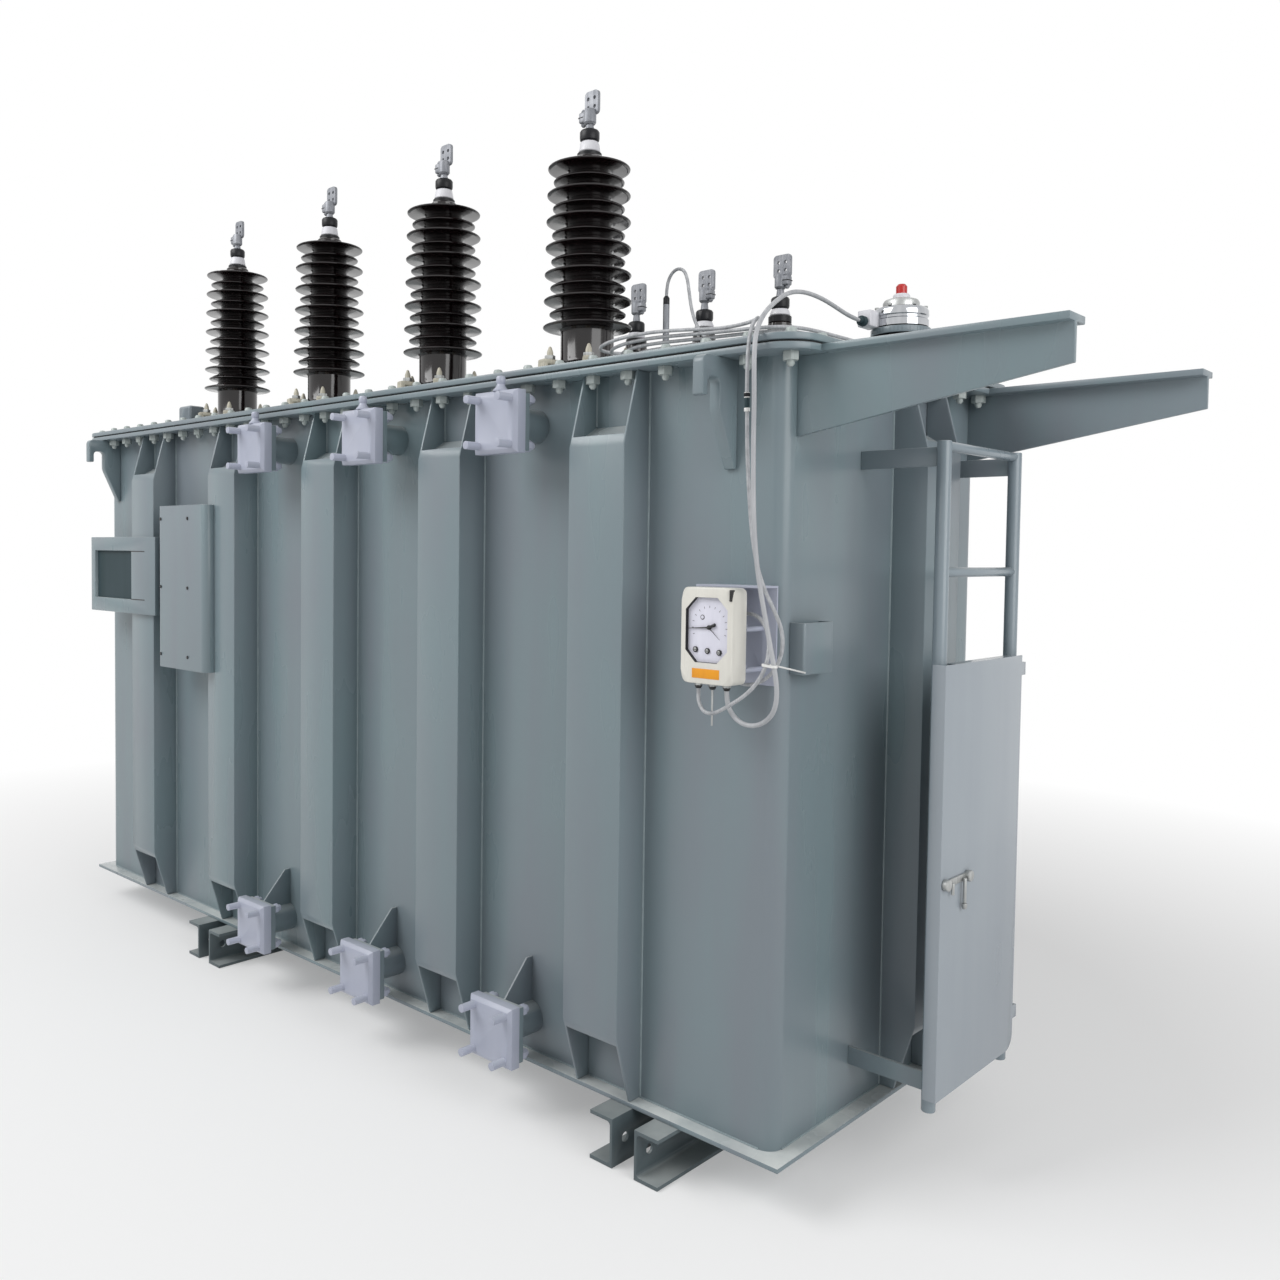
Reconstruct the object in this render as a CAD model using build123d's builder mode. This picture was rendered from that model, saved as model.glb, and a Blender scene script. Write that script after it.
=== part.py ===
import os
from math import pi, radians, tan

from build123d import *

os.makedirs("parts", exist_ok=True)

# Tank shell
tank_length = 3456
tank_width = 1000
tank_wall = 8
corner_radius = 40
wall_height = 1861

# Base plate and skid channels
base_thickness = 12
base_projection = 43
skid_height = 126
skid_flange = 75
skid_web = 8
skid_flange_thickness = 10
skid_root_radius = 10
skid_overhang = 120
skid_gap = 72
left_skid_inset = 1028
right_skid_inset = 356
skid_hole_diameter = 26
skid_hole_inset = 52

# Rim, gasket and cover
rim_projection = 79
rim_thickness = 16
gasket_thickness = 5
gasket_inset = 8
cover_thickness = 16
cover_corner_radius = 90

# Stiffening channels
stiffener_count = 5
stiffener_end_margin = 496
stiffener_width = 188
stiffener_depth = 98
stiffener_sheet = 8
stiffener_foot = 42
stiffener_head = 48
face_lift = 183
face_drop = 188
cap_rise = 60
end_stiffener_offset = 100

# Radiator connections, closed with blanking plates
stub_diameter = 92
stub_length = 105
flange_size = 152
flange_thickness = 22
blank_size = 166
blank_thickness = 38
blank_chamfer = 10
stud_diameter = 22
stud_reach = 45
stud_inset = 22
stub_upper_drop = 112
stub_lower_lift = 97
gusset_thickness = 6
gusset_rise = 95
gusset_head = 22

# High voltage bushings
hv_count = 4
hv_end_margin = 775.5
hv_front_inset = 167
hv_foot_radius = 112
hv_foot_height = 30
hv_foot_edge = 18
hv_core_radius = 76
hv_head_radius = 42
hv_first_shed = 146
hv_shed_pitch = 74
hv_shed_count = 7
hv_shed_radius = 127
hv_shed_shrink = 1.7
hv_small_shed_step = 17
hv_shed_root = 11
hv_shed_edge = 5
hv_shed_slope = 16
hv_head_height = 32

# Terminals
collar_radius = 35
collar_height = 20
cone_radius = 30
cone_top_radius = 24
cone_height = 20
cap_radius = 28
cap_height = 38
cap_bevel = 8
stem_radius = 10
hv_stem_height = 12
lv_stem_height = 26
clamp_radius = 19
clamp_height = 42
clamp_bolt_radius = 11
clamp_bolt_reach = 30
palm_corner = 12
palm_width = 50
palm_height = 66
palm_thickness = 10
palm_hole_diameter = 11
palm_hole_spacing = 24

# Low voltage bushings
lv_end_inset = 503
lv_pitch = 285
lv_count = 3
lv_back_inset = 268
lv_foot_radius = 70
lv_foot_height = 24
lv_core_radius = 36
lv_shed_radius = 58
lv_shed_pitch = 52
lv_shed_count = 3
lv_first_shed = 70
lv_porcelain_height = 210
lv_palm_width = 60
lv_palm_height = 70

# Brackets that carry a conservator
bracket_reach = 618
bracket_inset = 44
bracket_web = 12
bracket_flange = 83
bracket_flange_lead = 29
bracket_root_height = 184
bracket_tip_height = 79

# Lifting hooks
hook_left_inset = 83
hook_right_inset = 149
hook_plate = 30
hook_reach = 138
hook_height = 256
hook_prong = 21
hook_prong_length = 94
hook_throat = 45
hook_throat_drop = 48
hook_throat_radius = 16
hook_body_drop = 123
hook_body_radius = 60
hook_foot = 10
hook_shoulder = 20
hook_nose = 5

# Ladder and its guard door
ladder_gap = 217
ladder_width = 410
ladder_offset = 50
rail_radius = 17
rail_bottom = 200
rung_radius = 12
rung_pitch = 300
rung_count = 6
top_rung_height = 1805
bar_height = 46
bar_thickness = 10
lower_bar_height = 270
bar_drop = 25
door_gap = 13
door_sheet = 4
door_bottom = 240
door_height = 1047
door_edge = 35
door_fold = 30
door_top_fold = 25
door_fold_clearance = 12
door_corner_radius = 40
hinge_clearance = 0.3
hinge_sheet = 6
hinge_height = 34
upper_hinge_drop = 36

# Winding thermometer on the front wall
gauge_width = 146
gauge_height = 222
gauge_depth = 56
gauge_corner = 14
gauge_end_inset = 119
gauge_centre_height = 1355
gauge_standoff = 74
window_width = 118
window_height = 150
window_cut = 28
window_rise = 13
window_depth = 10
gauge_plate = 5
gauge_plate_margin = 34
spacer_diameter = 12
spacer_span = 44
spacer_rise = 94
spacer_drop = 31
spacer_shift = 45
gland_diameter = 20
gland_length = 14
gland_spacing = 40
test_rod_diameter = 5
test_rod_length = 84

# Cover fittings
relief_end_inset = 78
relief_back_inset = 320
relief_pipe_radius = 48
relief_pipe_height = 109
relief_flange_radius = 80
relief_flange_thickness = 18
relief_ring_radius = 74
relief_ring_height = 57
relief_ring_bevel = 9
relief_tier_radius = 45
relief_tier_height = 25
relief_pin_radius = 17
relief_pin_height = 42
relief_pin_bevel = 5
switch_width = 40
switch_length = 60
switch_height = 44
switch_side = 50
switch_lead = 82
switch_gland_radius = 11
switch_gland_length = 28
switch_gland_lift = 13
well_end_inset = 582
well_front_inset = 282
well_boss_radius = 24
well_boss_height = 40
well_stem_radius = 9
well_stem_height = 186
lug_end_inset = 606
lug_front_inset = 60
lug_length = 92
lug_width = 70
lug_height = 79
lug_round = 12

# Plates on the front wall
frame_lead = 140
frame_width = 575
frame_height = 310
frame_centre_height = 1431
frame_standoff = 118
frame_sheet = 6
frame_window_width = 335
frame_window_height = 198
frame_window_inset = 36
tray_gap = 57
tray_width = 366
tray_height = 620
tray_centre_height = 1394
tray_sheet = 4
tray_fold = 38
tray_bend = 28
cable_plate_width = 128
cable_plate_height = 120
cable_plate_standoff = 40
cable_plate_sheet = 4
cable_plate_centre_height = 1326
cable_plate_edge = -8
cable_plate_bend = 6

# Relief valve cable: from the valve's switch over the cover's edge to the right-hand gland
arc_share = 0.45
relief_cable_diameter = 11
relief_route = [
    (1600, 40, 2176),
    (1600, 12, 2177),
    (1600, -30, 2182),
    (1602, -88, 2191),
    (1607, -154, 2198),
    (1613, -228, 2199),
    (1623, -302, 2190),
    (1637, -370, 2170),
    (1655, -434, 2142),
    (1676, -498, 2112),
    (1697, -560, 2076),
    (1713, -606, 2032),
    (1721, -622, 1974),
    (1723, -621, 1890),
    (1721, -618, 1788),
    (1722, -617, 1680),
    (1728, -618, 1580),
    (1739, -618, 1498),
    (1755, -617, 1424),
    (1771, -616, 1352),
    (1785, -615, 1292),
    (1792, -613, 1242),
    (1786, -611, 1202),
    (1765, -609, 1175),
    (1735, -607, 1160),
    (1705, -605, 1158),
    (1680, -603, 1166),
    (1661, -602, 1183),
    (1650, -602, 1205),
    (1649, -602, 1230),
]

# Thermometer capillary: from the pocket into a hank on the cover, then down to the left-hand gland
capillary_diameter = 8
well_route = [
    (1146, -218, 2262),
    (1147, -218, 2280),
    (1153, -218, 2303),
    (1167, -218, 2321),
    (1188, -219, 2325),
    (1208, -220, 2313),
    (1221, -222, 2286),
    (1231, -225, 2250),
    (1244, -229, 2206),
    (1264, -234, 2164),
    (1297, -241, 2126),
    (1342, -250, 2100),
    (1388, -262, 2084),
]
hank_outline = [(1120, -515), (1735, -515), (1735, -60), (1600, -60), (1120, -400)]
hank_hole = [(1250, -455), (1675, -455), (1675, -150)]
hank_bend = 55
hank_hole_bend = 30
hank_height = 56
gauge_route = [
    (1586, -484, 2086),
    (1622, -488, 2095),
    (1655, -508, 2096),
    (1676, -547, 2086),
    (1690, -590, 2053),
    (1698, -612, 2002),
    (1700, -617, 1938),
    (1699, -613, 1862),
    (1697, -607, 1776),
    (1699, -601, 1690),
    (1705, -598, 1606),
    (1716, -595, 1532),
    (1734, -588, 1468),
    (1757, -577, 1418),
    (1772, -566, 1372),
    (1768, -558, 1326),
    (1747, -552, 1284),
    (1712, -548, 1254),
    (1671, -546, 1240),
    (1632, -546, 1246),
    (1603, -546, 1274),
    (1592, -546, 1314),
    (1600, -547, 1356),
    (1626, -549, 1392),
    (1664, -553, 1409),
    (1704, -560, 1403),
    (1736, -572, 1376),
    (1752, -586, 1336),
    (1752, -599, 1292),
    (1734, -610, 1252),
    (1704, -617, 1222),
    (1668, -621, 1199),
    (1634, -619, 1187),
    (1605, -613, 1184),
    (1583, -606, 1192),
    (1570, -602, 1208),
    (1569, -602, 1230),
]

# Levels and planes that the pieces share
tank_x = -(bracket_reach - stiffener_depth) / 2
half_length = tank_length / 2
half_width = tank_width / 2
base_bottom = skid_height
wall_bottom = base_bottom + base_thickness
wall_top = wall_bottom + wall_height
rim_top = wall_top + rim_thickness
cover_bottom = rim_top + gasket_thickness
cover_top = cover_bottom + cover_thickness
left_wall = tank_x - half_length
end_wall = tank_x + half_length
wall_middle = (wall_bottom + wall_top) / 2


def finish(piece, name):
    piece.part.label = name
    export_step(piece.part, f"parts/{name}.step")


# Skid channels: two pairs, back to back with a gap between their webs
def skid_pair(middle, name):
    skid_length = tank_width + 2 * skid_overhang
    with BuildPart() as pair:
        for side in (-1, 1):
            web_face = middle + side * skid_gap / 2
            with BuildSketch(Plane.XZ.offset(-skid_length / 2)) as profile:
                with Locations((web_face + side * skid_flange / 2, skid_height / 2)):
                    Rectangle(skid_flange, skid_height)
                with Locations((web_face + side * (skid_flange + skid_web) / 2, skid_height / 2)):
                    Rectangle(
                        skid_flange - skid_web,
                        skid_height - 2 * skid_flange_thickness,
                        mode=Mode.SUBTRACT,
                    )
                fillet(profile.vertices().group_by(Axis.X)[1], skid_root_radius)
            extrude(amount=skid_length)
        for end in (-1, 1):
            hole_y = end * (skid_length / 2 - skid_hole_inset)
            with Locations(Location((middle, hole_y, skid_height / 2), (0, 90, 0))):
                Cylinder(
                    skid_hole_diameter / 2,
                    skid_gap + 2 * skid_flange,
                    mode=Mode.SUBTRACT,
                )
    finish(pair, name)


skid_pair(left_wall + left_skid_inset, "left_skid_channels")
skid_pair(end_wall - right_skid_inset, "right_skid_channels")

# Base plate
with BuildPart() as base_plate:
    with Locations((tank_x, 0, base_bottom + base_thickness / 2)):
        Box(tank_length + 2 * base_projection, tank_width + 2 * base_projection, base_thickness)
finish(base_plate, "base_plate")


# Tank walls: two flat sides, and two ends that bend round the corners
def side_wall(side, name):
    with BuildPart() as wall:
        with Locations((tank_x, side * (half_width - tank_wall / 2), wall_middle)):
            Box(tank_length - 2 * corner_radius, tank_wall, wall_height)
    finish(wall, name)


def end_shell(side, name):
    with BuildPart() as shell:
        with BuildSketch(Plane.XY.offset(wall_bottom)):
            with Locations((tank_x, 0)):
                RectangleRounded(tank_length, tank_width, corner_radius)
                RectangleRounded(
                    tank_length - 2 * tank_wall,
                    tank_width - 2 * tank_wall,
                    corner_radius - tank_wall,
                    mode=Mode.SUBTRACT,
                )
            with Locations((tank_x - side * corner_radius, 0)):
                Rectangle(tank_length, tank_width, mode=Mode.SUBTRACT)
        extrude(amount=wall_height)
    finish(shell, name)


side_wall(-1, "tank_front_wall")
side_wall(1, "tank_back_wall")
end_shell(-1, "tank_left_end")
end_shell(1, "tank_right_end")


# Rim, gasket and cover share one outline
def rim_ring(level, thickness, inset, name):
    with BuildPart() as ring:
        with BuildSketch(Plane.XY.offset(level)):
            with Locations((tank_x, 0)):
                RectangleRounded(
                    tank_length + 2 * (rim_projection - inset),
                    tank_width + 2 * (rim_projection - inset),
                    cover_corner_radius - inset,
                )
                RectangleRounded(
                    tank_length - 2 * tank_wall,
                    tank_width - 2 * tank_wall,
                    corner_radius - tank_wall,
                    mode=Mode.SUBTRACT,
                )
        extrude(amount=thickness)
    finish(ring, name)


rim_ring(wall_top, rim_thickness, 0, "tank_rim")
rim_ring(rim_top, gasket_thickness, gasket_inset, "rim_gasket")

with BuildPart() as cover_plate:
    with BuildSketch(Plane.XY.offset(cover_bottom)):
        with Locations((tank_x, 0)):
            RectangleRounded(
                tank_length + 2 * rim_projection,
                tank_width + 2 * rim_projection,
                cover_corner_radius,
            )
    extrude(amount=cover_thickness)
finish(cover_plate, "cover_plate")

# One stiffening channel, its open back on the plane Y = 0 and its face towards -Y
face_bottom = wall_bottom + face_lift
face_top = wall_top - face_drop
with BuildPart() as channel:
    with BuildSketch(Plane.YZ):
        with BuildLine():
            Polyline(
                (0, wall_bottom),
                (-stiffener_foot, wall_bottom),
                (-stiffener_depth, face_bottom),
                (-stiffener_depth, face_top),
                (-stiffener_head, wall_top),
                (0, wall_top),
                close=True,
            )
        make_face()
    extrude(amount=stiffener_width / 2, both=True)
    with Locations((0, (stiffener_sheet - stiffener_depth) / 2, wall_middle)):
        Box(
            stiffener_width - 2 * stiffener_sheet,
            stiffener_depth - stiffener_sheet,
            wall_height,
            mode=Mode.SUBTRACT,
        )
    with BuildSketch(Plane.YZ):
        with BuildLine():
            Polyline(
                (-stiffener_depth, face_top),
                (0, face_top + cap_rise),
                (0, face_top + cap_rise - stiffener_sheet),
                (-stiffener_depth, face_top - stiffener_sheet),
                close=True,
            )
        make_face()
    extrude(amount=stiffener_width / 2 - stiffener_sheet, both=True)

first_stiffener = left_wall + stiffener_end_margin
stiffener_pitch = (tank_length - 2 * stiffener_end_margin) / (stiffener_count - 1)
stiffener_places = [first_stiffener + index * stiffener_pitch for index in range(stiffener_count)]

with BuildPart() as front_stiffeners:
    with Locations(*[(x, -half_width, 0) for x in stiffener_places]):
        add(channel.part)
finish(front_stiffeners, "front_stiffeners")

with BuildPart() as back_stiffeners:
    with Locations(*[Location((x, half_width, 0), (0, 0, 180)) for x in stiffener_places]):
        add(channel.part)
finish(back_stiffeners, "back_stiffeners")

with BuildPart() as right_end_stiffener:
    with Locations(Location((end_wall, end_stiffener_offset, 0), (0, 0, 90))):
        add(channel.part)
finish(right_end_stiffener, "right_end_stiffener")

with BuildPart() as left_end_stiffener:
    with Locations(Location((left_wall, end_stiffener_offset, 0), (0, 0, -90))):
        add(channel.part)
finish(left_end_stiffener, "left_end_stiffener")

# One radiator connection on the plane Y = 0, pointing towards -Y
flange_face = stub_length + flange_thickness
with BuildPart() as upper_stub:
    with BuildSketch(Plane.XZ):
        Circle(stub_diameter / 2)
    extrude(amount=stub_length)
    with BuildSketch(Plane.XZ.offset(stub_length)):
        Rectangle(flange_size, flange_size)
    extrude(amount=flange_thickness)

with BuildPart() as lower_stub:
    add(upper_stub.part)
    with BuildSketch(Plane.YZ):
        with BuildLine():
            Polyline(
                (0, 0),
                (-stub_length, 0),
                (-stub_length, flange_size / 2),
                (-gusset_head, flange_size / 2 + gusset_rise),
                (0, flange_size / 2 + gusset_rise),
                close=True,
            )
        make_face()
    extrude(amount=gusset_thickness / 2, both=True)

with BuildPart() as blank:
    with BuildSketch(Plane.XZ.offset(flange_face)):
        Rectangle(blank_size, blank_size)
    extrude(amount=blank_thickness)
    chamfer(blank.faces().sort_by(Axis.Y)[0].edges(), blank_chamfer)
    with BuildSketch(Plane.XZ.offset(flange_face + blank_thickness)):
        with GridLocations(blank_size - 2 * stud_inset, blank_size - 2 * stud_inset, 2, 2):
            Circle(stud_diameter / 2)
    extrude(amount=stud_reach)

stub_bays = zip(stiffener_places[1:], stiffener_places[2:])
stub_places = [(left + right) / 2 for left, right in stub_bays]
stub_rows = {"upper": wall_top - stub_upper_drop, "lower": wall_bottom + stub_lower_lift}
stub_shapes = {"upper": upper_stub, "lower": lower_stub}
for side, plane_y, turn in (("front", -half_width, 0), ("back", half_width, 180)):
    for row, level in stub_rows.items():
        row_places = [Location((x, plane_y, level), (0, 0, turn)) for x in stub_places]
        with BuildPart() as stubs:
            with Locations(*row_places):
                add(stub_shapes[row].part)
        finish(stubs, f"{side}_{row}_stubs")
        with BuildPart() as blanks:
            with Locations(*row_places):
                add(blank.part)
        finish(blanks, f"{side}_{row}_blanking_plates")

# One high voltage porcelain, standing on Z = 0
hv_shed_step = hv_shed_pitch / 2
hv_shed_total = 2 * hv_shed_count - 1
hv_shed_top = hv_first_shed + (hv_shed_total - 1) * hv_shed_step
hv_porcelain_height = hv_shed_top + hv_head_height
hv_core_shrink = (hv_core_radius - hv_head_radius) / (hv_shed_total + 4)
with BuildPart() as hv_porcelain:
    with BuildSketch(Plane.XZ):
        with BuildLine():
            outline = [
                (0, 0),
                (hv_foot_radius, 0),
                (hv_foot_radius, hv_foot_edge),
                (hv_core_radius, hv_foot_height),
                (hv_core_radius, hv_first_shed - hv_shed_root),
            ]
            for shed in range(hv_shed_total):
                edge_height = hv_first_shed + shed * hv_shed_step
                reach = hv_shed_radius - shed * hv_shed_shrink / 2
                if shed % 2 == 1:
                    reach -= hv_small_shed_step
                core = hv_core_radius - (shed + 1) * hv_core_shrink
                outline += [
                    (reach, edge_height - hv_shed_edge),
                    (reach, edge_height),
                    (core, edge_height + hv_shed_slope),
                ]
            outline += [(hv_head_radius, hv_porcelain_height), (0, hv_porcelain_height)]
            Polyline(*outline, close=True)
        make_face()
    revolve(axis=Axis.Z)


# One terminal on Z = 0: collar, cone, cap, stem, clamp and a drilled palm
def terminal(stem_height, width, height):
    cap_level = collar_height + cone_height
    stem_level = cap_level + cap_height
    clamp_level = stem_level + stem_height
    with BuildPart() as fitting:
        with BuildSketch(Plane.XZ):
            with BuildLine():
                Polyline(
                    (0, 0),
                    (collar_radius, 0),
                    (collar_radius, collar_height),
                    (cone_radius, collar_height),
                    (cone_top_radius, cap_level),
                    (cap_radius, cap_level),
                    (cap_radius, stem_level - cap_bevel),
                    (cap_radius - cap_bevel, stem_level),
                    (stem_radius, stem_level),
                    (stem_radius, clamp_level),
                    (clamp_radius, clamp_level),
                    (clamp_radius, clamp_level + clamp_height),
                    (0, clamp_level + clamp_height),
                    close=True,
                )
            make_face()
        revolve(axis=Axis.Z)
        with Locations(Location((clamp_bolt_reach / 2, 0, clamp_level + clamp_height / 2), (0, 90, 0))):
            Cylinder(clamp_bolt_radius, clamp_bolt_reach)
        palm_bottom = clamp_level + clamp_height - palm_thickness
        with BuildSketch(Plane.XZ.offset(-palm_thickness / 2)) as palm:
            with Locations((0, palm_bottom + height / 2)):
                Rectangle(width, height)
            fillet(palm.vertices().group_by(Axis.Z)[0], palm_corner)
            with Locations((0, palm_bottom + height / 2 + palm_thickness / 2)):
                with GridLocations(palm_hole_spacing, palm_hole_spacing, 2, 2):
                    Circle(palm_hole_diameter / 2, mode=Mode.SUBTRACT)
        extrude(amount=palm_thickness)
    return fitting.part


hv_fitting = terminal(hv_stem_height, palm_width, palm_height)
hv_y = hv_front_inset - half_width
hv_pitch = (tank_length - 2 * hv_end_margin) / (hv_count - 1)
hv_places = [left_wall + hv_end_margin + index * hv_pitch for index in range(hv_count)]
for index, x in enumerate(hv_places, start=1):
    with BuildPart() as bushing:
        with Locations((x, hv_y, cover_top)):
            add(hv_porcelain.part)
    finish(bushing, f"hv_bushing_{index}")
    with BuildPart() as fitting:
        with Locations((x, hv_y, cover_top + hv_porcelain_height)):
            add(hv_fitting)
    finish(fitting, f"hv_terminal_{index}")

# One low voltage porcelain, standing on Z = 0
with BuildPart() as lv_porcelain:
    with BuildSketch(Plane.XZ):
        with BuildLine():
            outline = [
                (0, 0),
                (lv_foot_radius, 0),
                (lv_foot_radius, lv_foot_height),
                (lv_core_radius, lv_foot_height),
            ]
            for shed in range(lv_shed_count):
                edge_height = lv_first_shed + shed * lv_shed_pitch
                outline += [
                    (lv_core_radius, edge_height - hv_shed_root),
                    (lv_shed_radius, edge_height - hv_shed_edge),
                    (lv_shed_radius, edge_height),
                    (lv_core_radius, edge_height + hv_shed_slope),
                ]
            outline += [(lv_core_radius, lv_porcelain_height), (0, lv_porcelain_height)]
            Polyline(*outline, close=True)
        make_face()
    revolve(axis=Axis.Z)

lv_fitting = terminal(lv_stem_height, lv_palm_width, lv_palm_height)
lv_y = half_width - lv_back_inset
lv_places = [end_wall - lv_end_inset - step * lv_pitch for step in range(lv_count)]
with BuildPart() as lv_bushings:
    with Locations(*[(x, lv_y, cover_top) for x in lv_places]):
        add(lv_porcelain.part)
finish(lv_bushings, "lv_bushings")

with BuildPart() as lv_terminals:
    lv_terminal_level = cover_top + lv_porcelain_height
    with Locations(*[(x, lv_y, lv_terminal_level) for x in lv_places]):
        add(lv_fitting)
finish(lv_terminals, "lv_terminals")


# Conservator brackets: a tapered web under a flat flange that carries on from the rim
def conservator_bracket(side, name):
    tip_x = end_wall + bracket_reach
    web_outer = side * (half_width - bracket_inset)
    web_middle = web_outer - side * bracket_web / 2
    flange_middle = web_outer + side * (bracket_flange_lead - bracket_flange / 2)
    rim_edge = end_wall + rim_projection
    with BuildPart() as bracket:
        with BuildSketch(Plane.XZ.offset(-web_middle)):
            with BuildLine():
                Polyline(
                    (end_wall, wall_top),
                    (end_wall, wall_top - bracket_root_height),
                    (tip_x, wall_top - bracket_tip_height),
                    (tip_x, wall_top),
                    close=True,
                )
            make_face()
        extrude(amount=bracket_web / 2, both=True)
        with Locations(((rim_edge + tip_x) / 2, flange_middle, wall_top + rim_thickness / 2)):
            Box(tip_x - rim_edge, bracket_flange, rim_thickness)
    finish(bracket, name)


conservator_bracket(-1, "conservator_bracket_front")
conservator_bracket(1, "conservator_bracket_back")

# Lifting hooks: plates that stand out from the walls, each with a throat open below
body_depth = hook_reach - hook_prong - hook_throat
prong_inner = hook_prong - hook_reach
prong_bottom = wall_top - hook_prong_length
throat_top = wall_top - hook_throat_drop
hook_bottom = wall_top - hook_height
with BuildPart() as hook:
    with BuildSketch(Plane.YZ):
        with BuildLine():
            FilletPolyline(
                (0, wall_top),
                (-hook_reach, wall_top),
                (-hook_reach, prong_bottom),
                (prong_inner, prong_bottom),
                (prong_inner, throat_top),
                (-body_depth, throat_top),
                (-body_depth, wall_top - hook_body_drop),
                (-hook_foot, hook_bottom),
                (0, hook_bottom),
                radius=[
                    hook_shoulder,
                    hook_nose,
                    hook_nose,
                    hook_throat_radius,
                    hook_throat_radius,
                    hook_body_radius,
                    hook_nose,
                ],
            )
            Line((0, hook_bottom), (0, wall_top))
        make_face()
    extrude(amount=hook_plate / 2, both=True)

hook_places = (left_wall + hook_left_inset, end_wall - hook_right_inset)
with BuildPart() as lifting_hooks:
    for plane_y, turn in ((-half_width, 0), (half_width, 180)):
        with Locations(*[Location((x, plane_y, 0), (0, 0, turn)) for x in hook_places]):
            add(hook.part)
finish(lifting_hooks, "lifting_hooks")

# Ladder: two rails, rungs coped to them and flat bars back to the end wall
rail_x = end_wall + ladder_gap
rail_near = ladder_offset - ladder_width / 2
rail_far = ladder_offset + ladder_width / 2
rail_length = top_rung_height + rung_radius - rail_bottom
rung_levels = [top_rung_height - step * rung_pitch for step in range(rung_count)]
with BuildPart() as ladder_rails:
    with Locations(*[(rail_x, y, rail_bottom + rail_length / 2) for y in (rail_near, rail_far)]):
        Cylinder(rail_radius, rail_length)
finish(ladder_rails, "ladder_rails")

with BuildPart() as ladder_rungs:
    with Locations(*[Location((rail_x, ladder_offset, z), (90, 0, 0)) for z in rung_levels]):
        Cylinder(rung_radius, ladder_width)
    add(ladder_rails.part, mode=Mode.SUBTRACT)
finish(ladder_rungs, "ladder_rungs")

with BuildPart() as ladder_bars:
    for y in (rail_near, rail_far):
        for level in (top_rung_height - bar_drop, lower_bar_height):
            with Locations(((end_wall + rail_x) / 2, y, level)):
                Box(ladder_gap, bar_thickness, bar_height)
    add(ladder_rails.part, mode=Mode.SUBTRACT)
finish(ladder_bars, "ladder_bars")

# Guard door: a folded sheet in front of the lower rungs, with hinge loops on the far rail
door_back = rail_x + rail_radius + door_gap
door_near = rail_near - door_edge
door_far = rail_far
loop_radius = rail_radius + hinge_clearance + hinge_sheet
lower_hinge = rung_levels[-1] + rung_radius + hinge_clearance + hinge_height / 2
hinge_levels = (lower_hinge, door_bottom + door_height - upper_hinge_drop)
with BuildPart() as ladder_guard_door:
    with BuildSketch(Plane.YZ.offset(door_back)):
        with BuildLine():
            Polyline(
                (door_far, door_bottom + door_corner_radius),
                (door_far, door_bottom + door_height),
                (door_near, door_bottom + door_height),
                (door_near, door_bottom),
                (door_far - door_corner_radius, door_bottom),
            )
            RadiusArc(
                (door_far - door_corner_radius, door_bottom),
                (door_far, door_bottom + door_corner_radius),
                -door_corner_radius,
            )
        make_face()
    extrude(amount=door_sheet)
    fold_middle = door_bottom + door_height / 2
    with Locations((door_back - door_fold / 2, door_near + door_sheet / 2, fold_middle)):
        Box(door_fold, door_sheet, door_height)
    fold_near = rail_near + rail_radius + door_fold_clearance
    fold_far = rail_far - rail_radius - door_fold_clearance
    fold_level = door_bottom + door_height - door_sheet / 2
    with Locations((door_back - door_top_fold / 2, (fold_near + fold_far) / 2, fold_level)):
        Box(door_top_fold, fold_far - fold_near, door_sheet)
    for level in hinge_levels:
        with Locations((rail_x, rail_far, level)):
            Cylinder(loop_radius, hinge_height)
        with Locations(((rail_x + door_back) / 2, rail_far + loop_radius - hinge_sheet / 2, level)):
            Box(door_back - rail_x, hinge_sheet, hinge_height)
        with Locations((door_back + door_sheet / 2, rail_far + loop_radius / 2, level)):
            Box(door_sheet, loop_radius, hinge_height)
        with Locations((rail_x, rail_far, level)):
            Cylinder(rail_radius + hinge_clearance, hinge_height, mode=Mode.SUBTRACT)
finish(ladder_guard_door, "ladder_guard_door")

# Thermometer: a moulded case with a sunk window, glands and a test rod, held off the wall by spacers
gauge_x = end_wall - gauge_end_inset
case_back = -half_width - gauge_standoff
case_bottom = gauge_centre_height - gauge_height / 2
case_top = gauge_centre_height + gauge_height / 2
with BuildPart() as gauge_box:
    with BuildSketch(Plane.XZ.offset(-case_back)):
        with Locations((gauge_x, gauge_centre_height)):
            RectangleRounded(gauge_width, gauge_height, gauge_corner)
    extrude(amount=gauge_depth)
    fillet(gauge_box.faces().sort_by(Axis.Y)[0].edges(), gauge_corner / 2)
    with BuildSketch(Plane.XZ.offset(gauge_depth - case_back)) as window:
        with Locations((gauge_x, gauge_centre_height + window_rise)):
            Rectangle(window_width, window_height)
        chamfer(window.vertices(), window_cut)
    extrude(amount=-window_depth, mode=Mode.SUBTRACT)
    with Locations((gauge_x, case_back - gauge_depth / 2, case_bottom - gland_length / 2)):
        with GridLocations(gland_spacing, gland_spacing, 3, 1):
            Cylinder(gland_diameter / 2, gland_length)
    rod_level = case_bottom - gland_length - test_rod_length / 2
    with Locations((gauge_x, case_back - gauge_depth / 2, rod_level)):
        Cylinder(test_rod_diameter / 2, test_rod_length)
finish(gauge_box, "gauge_box")

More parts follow.
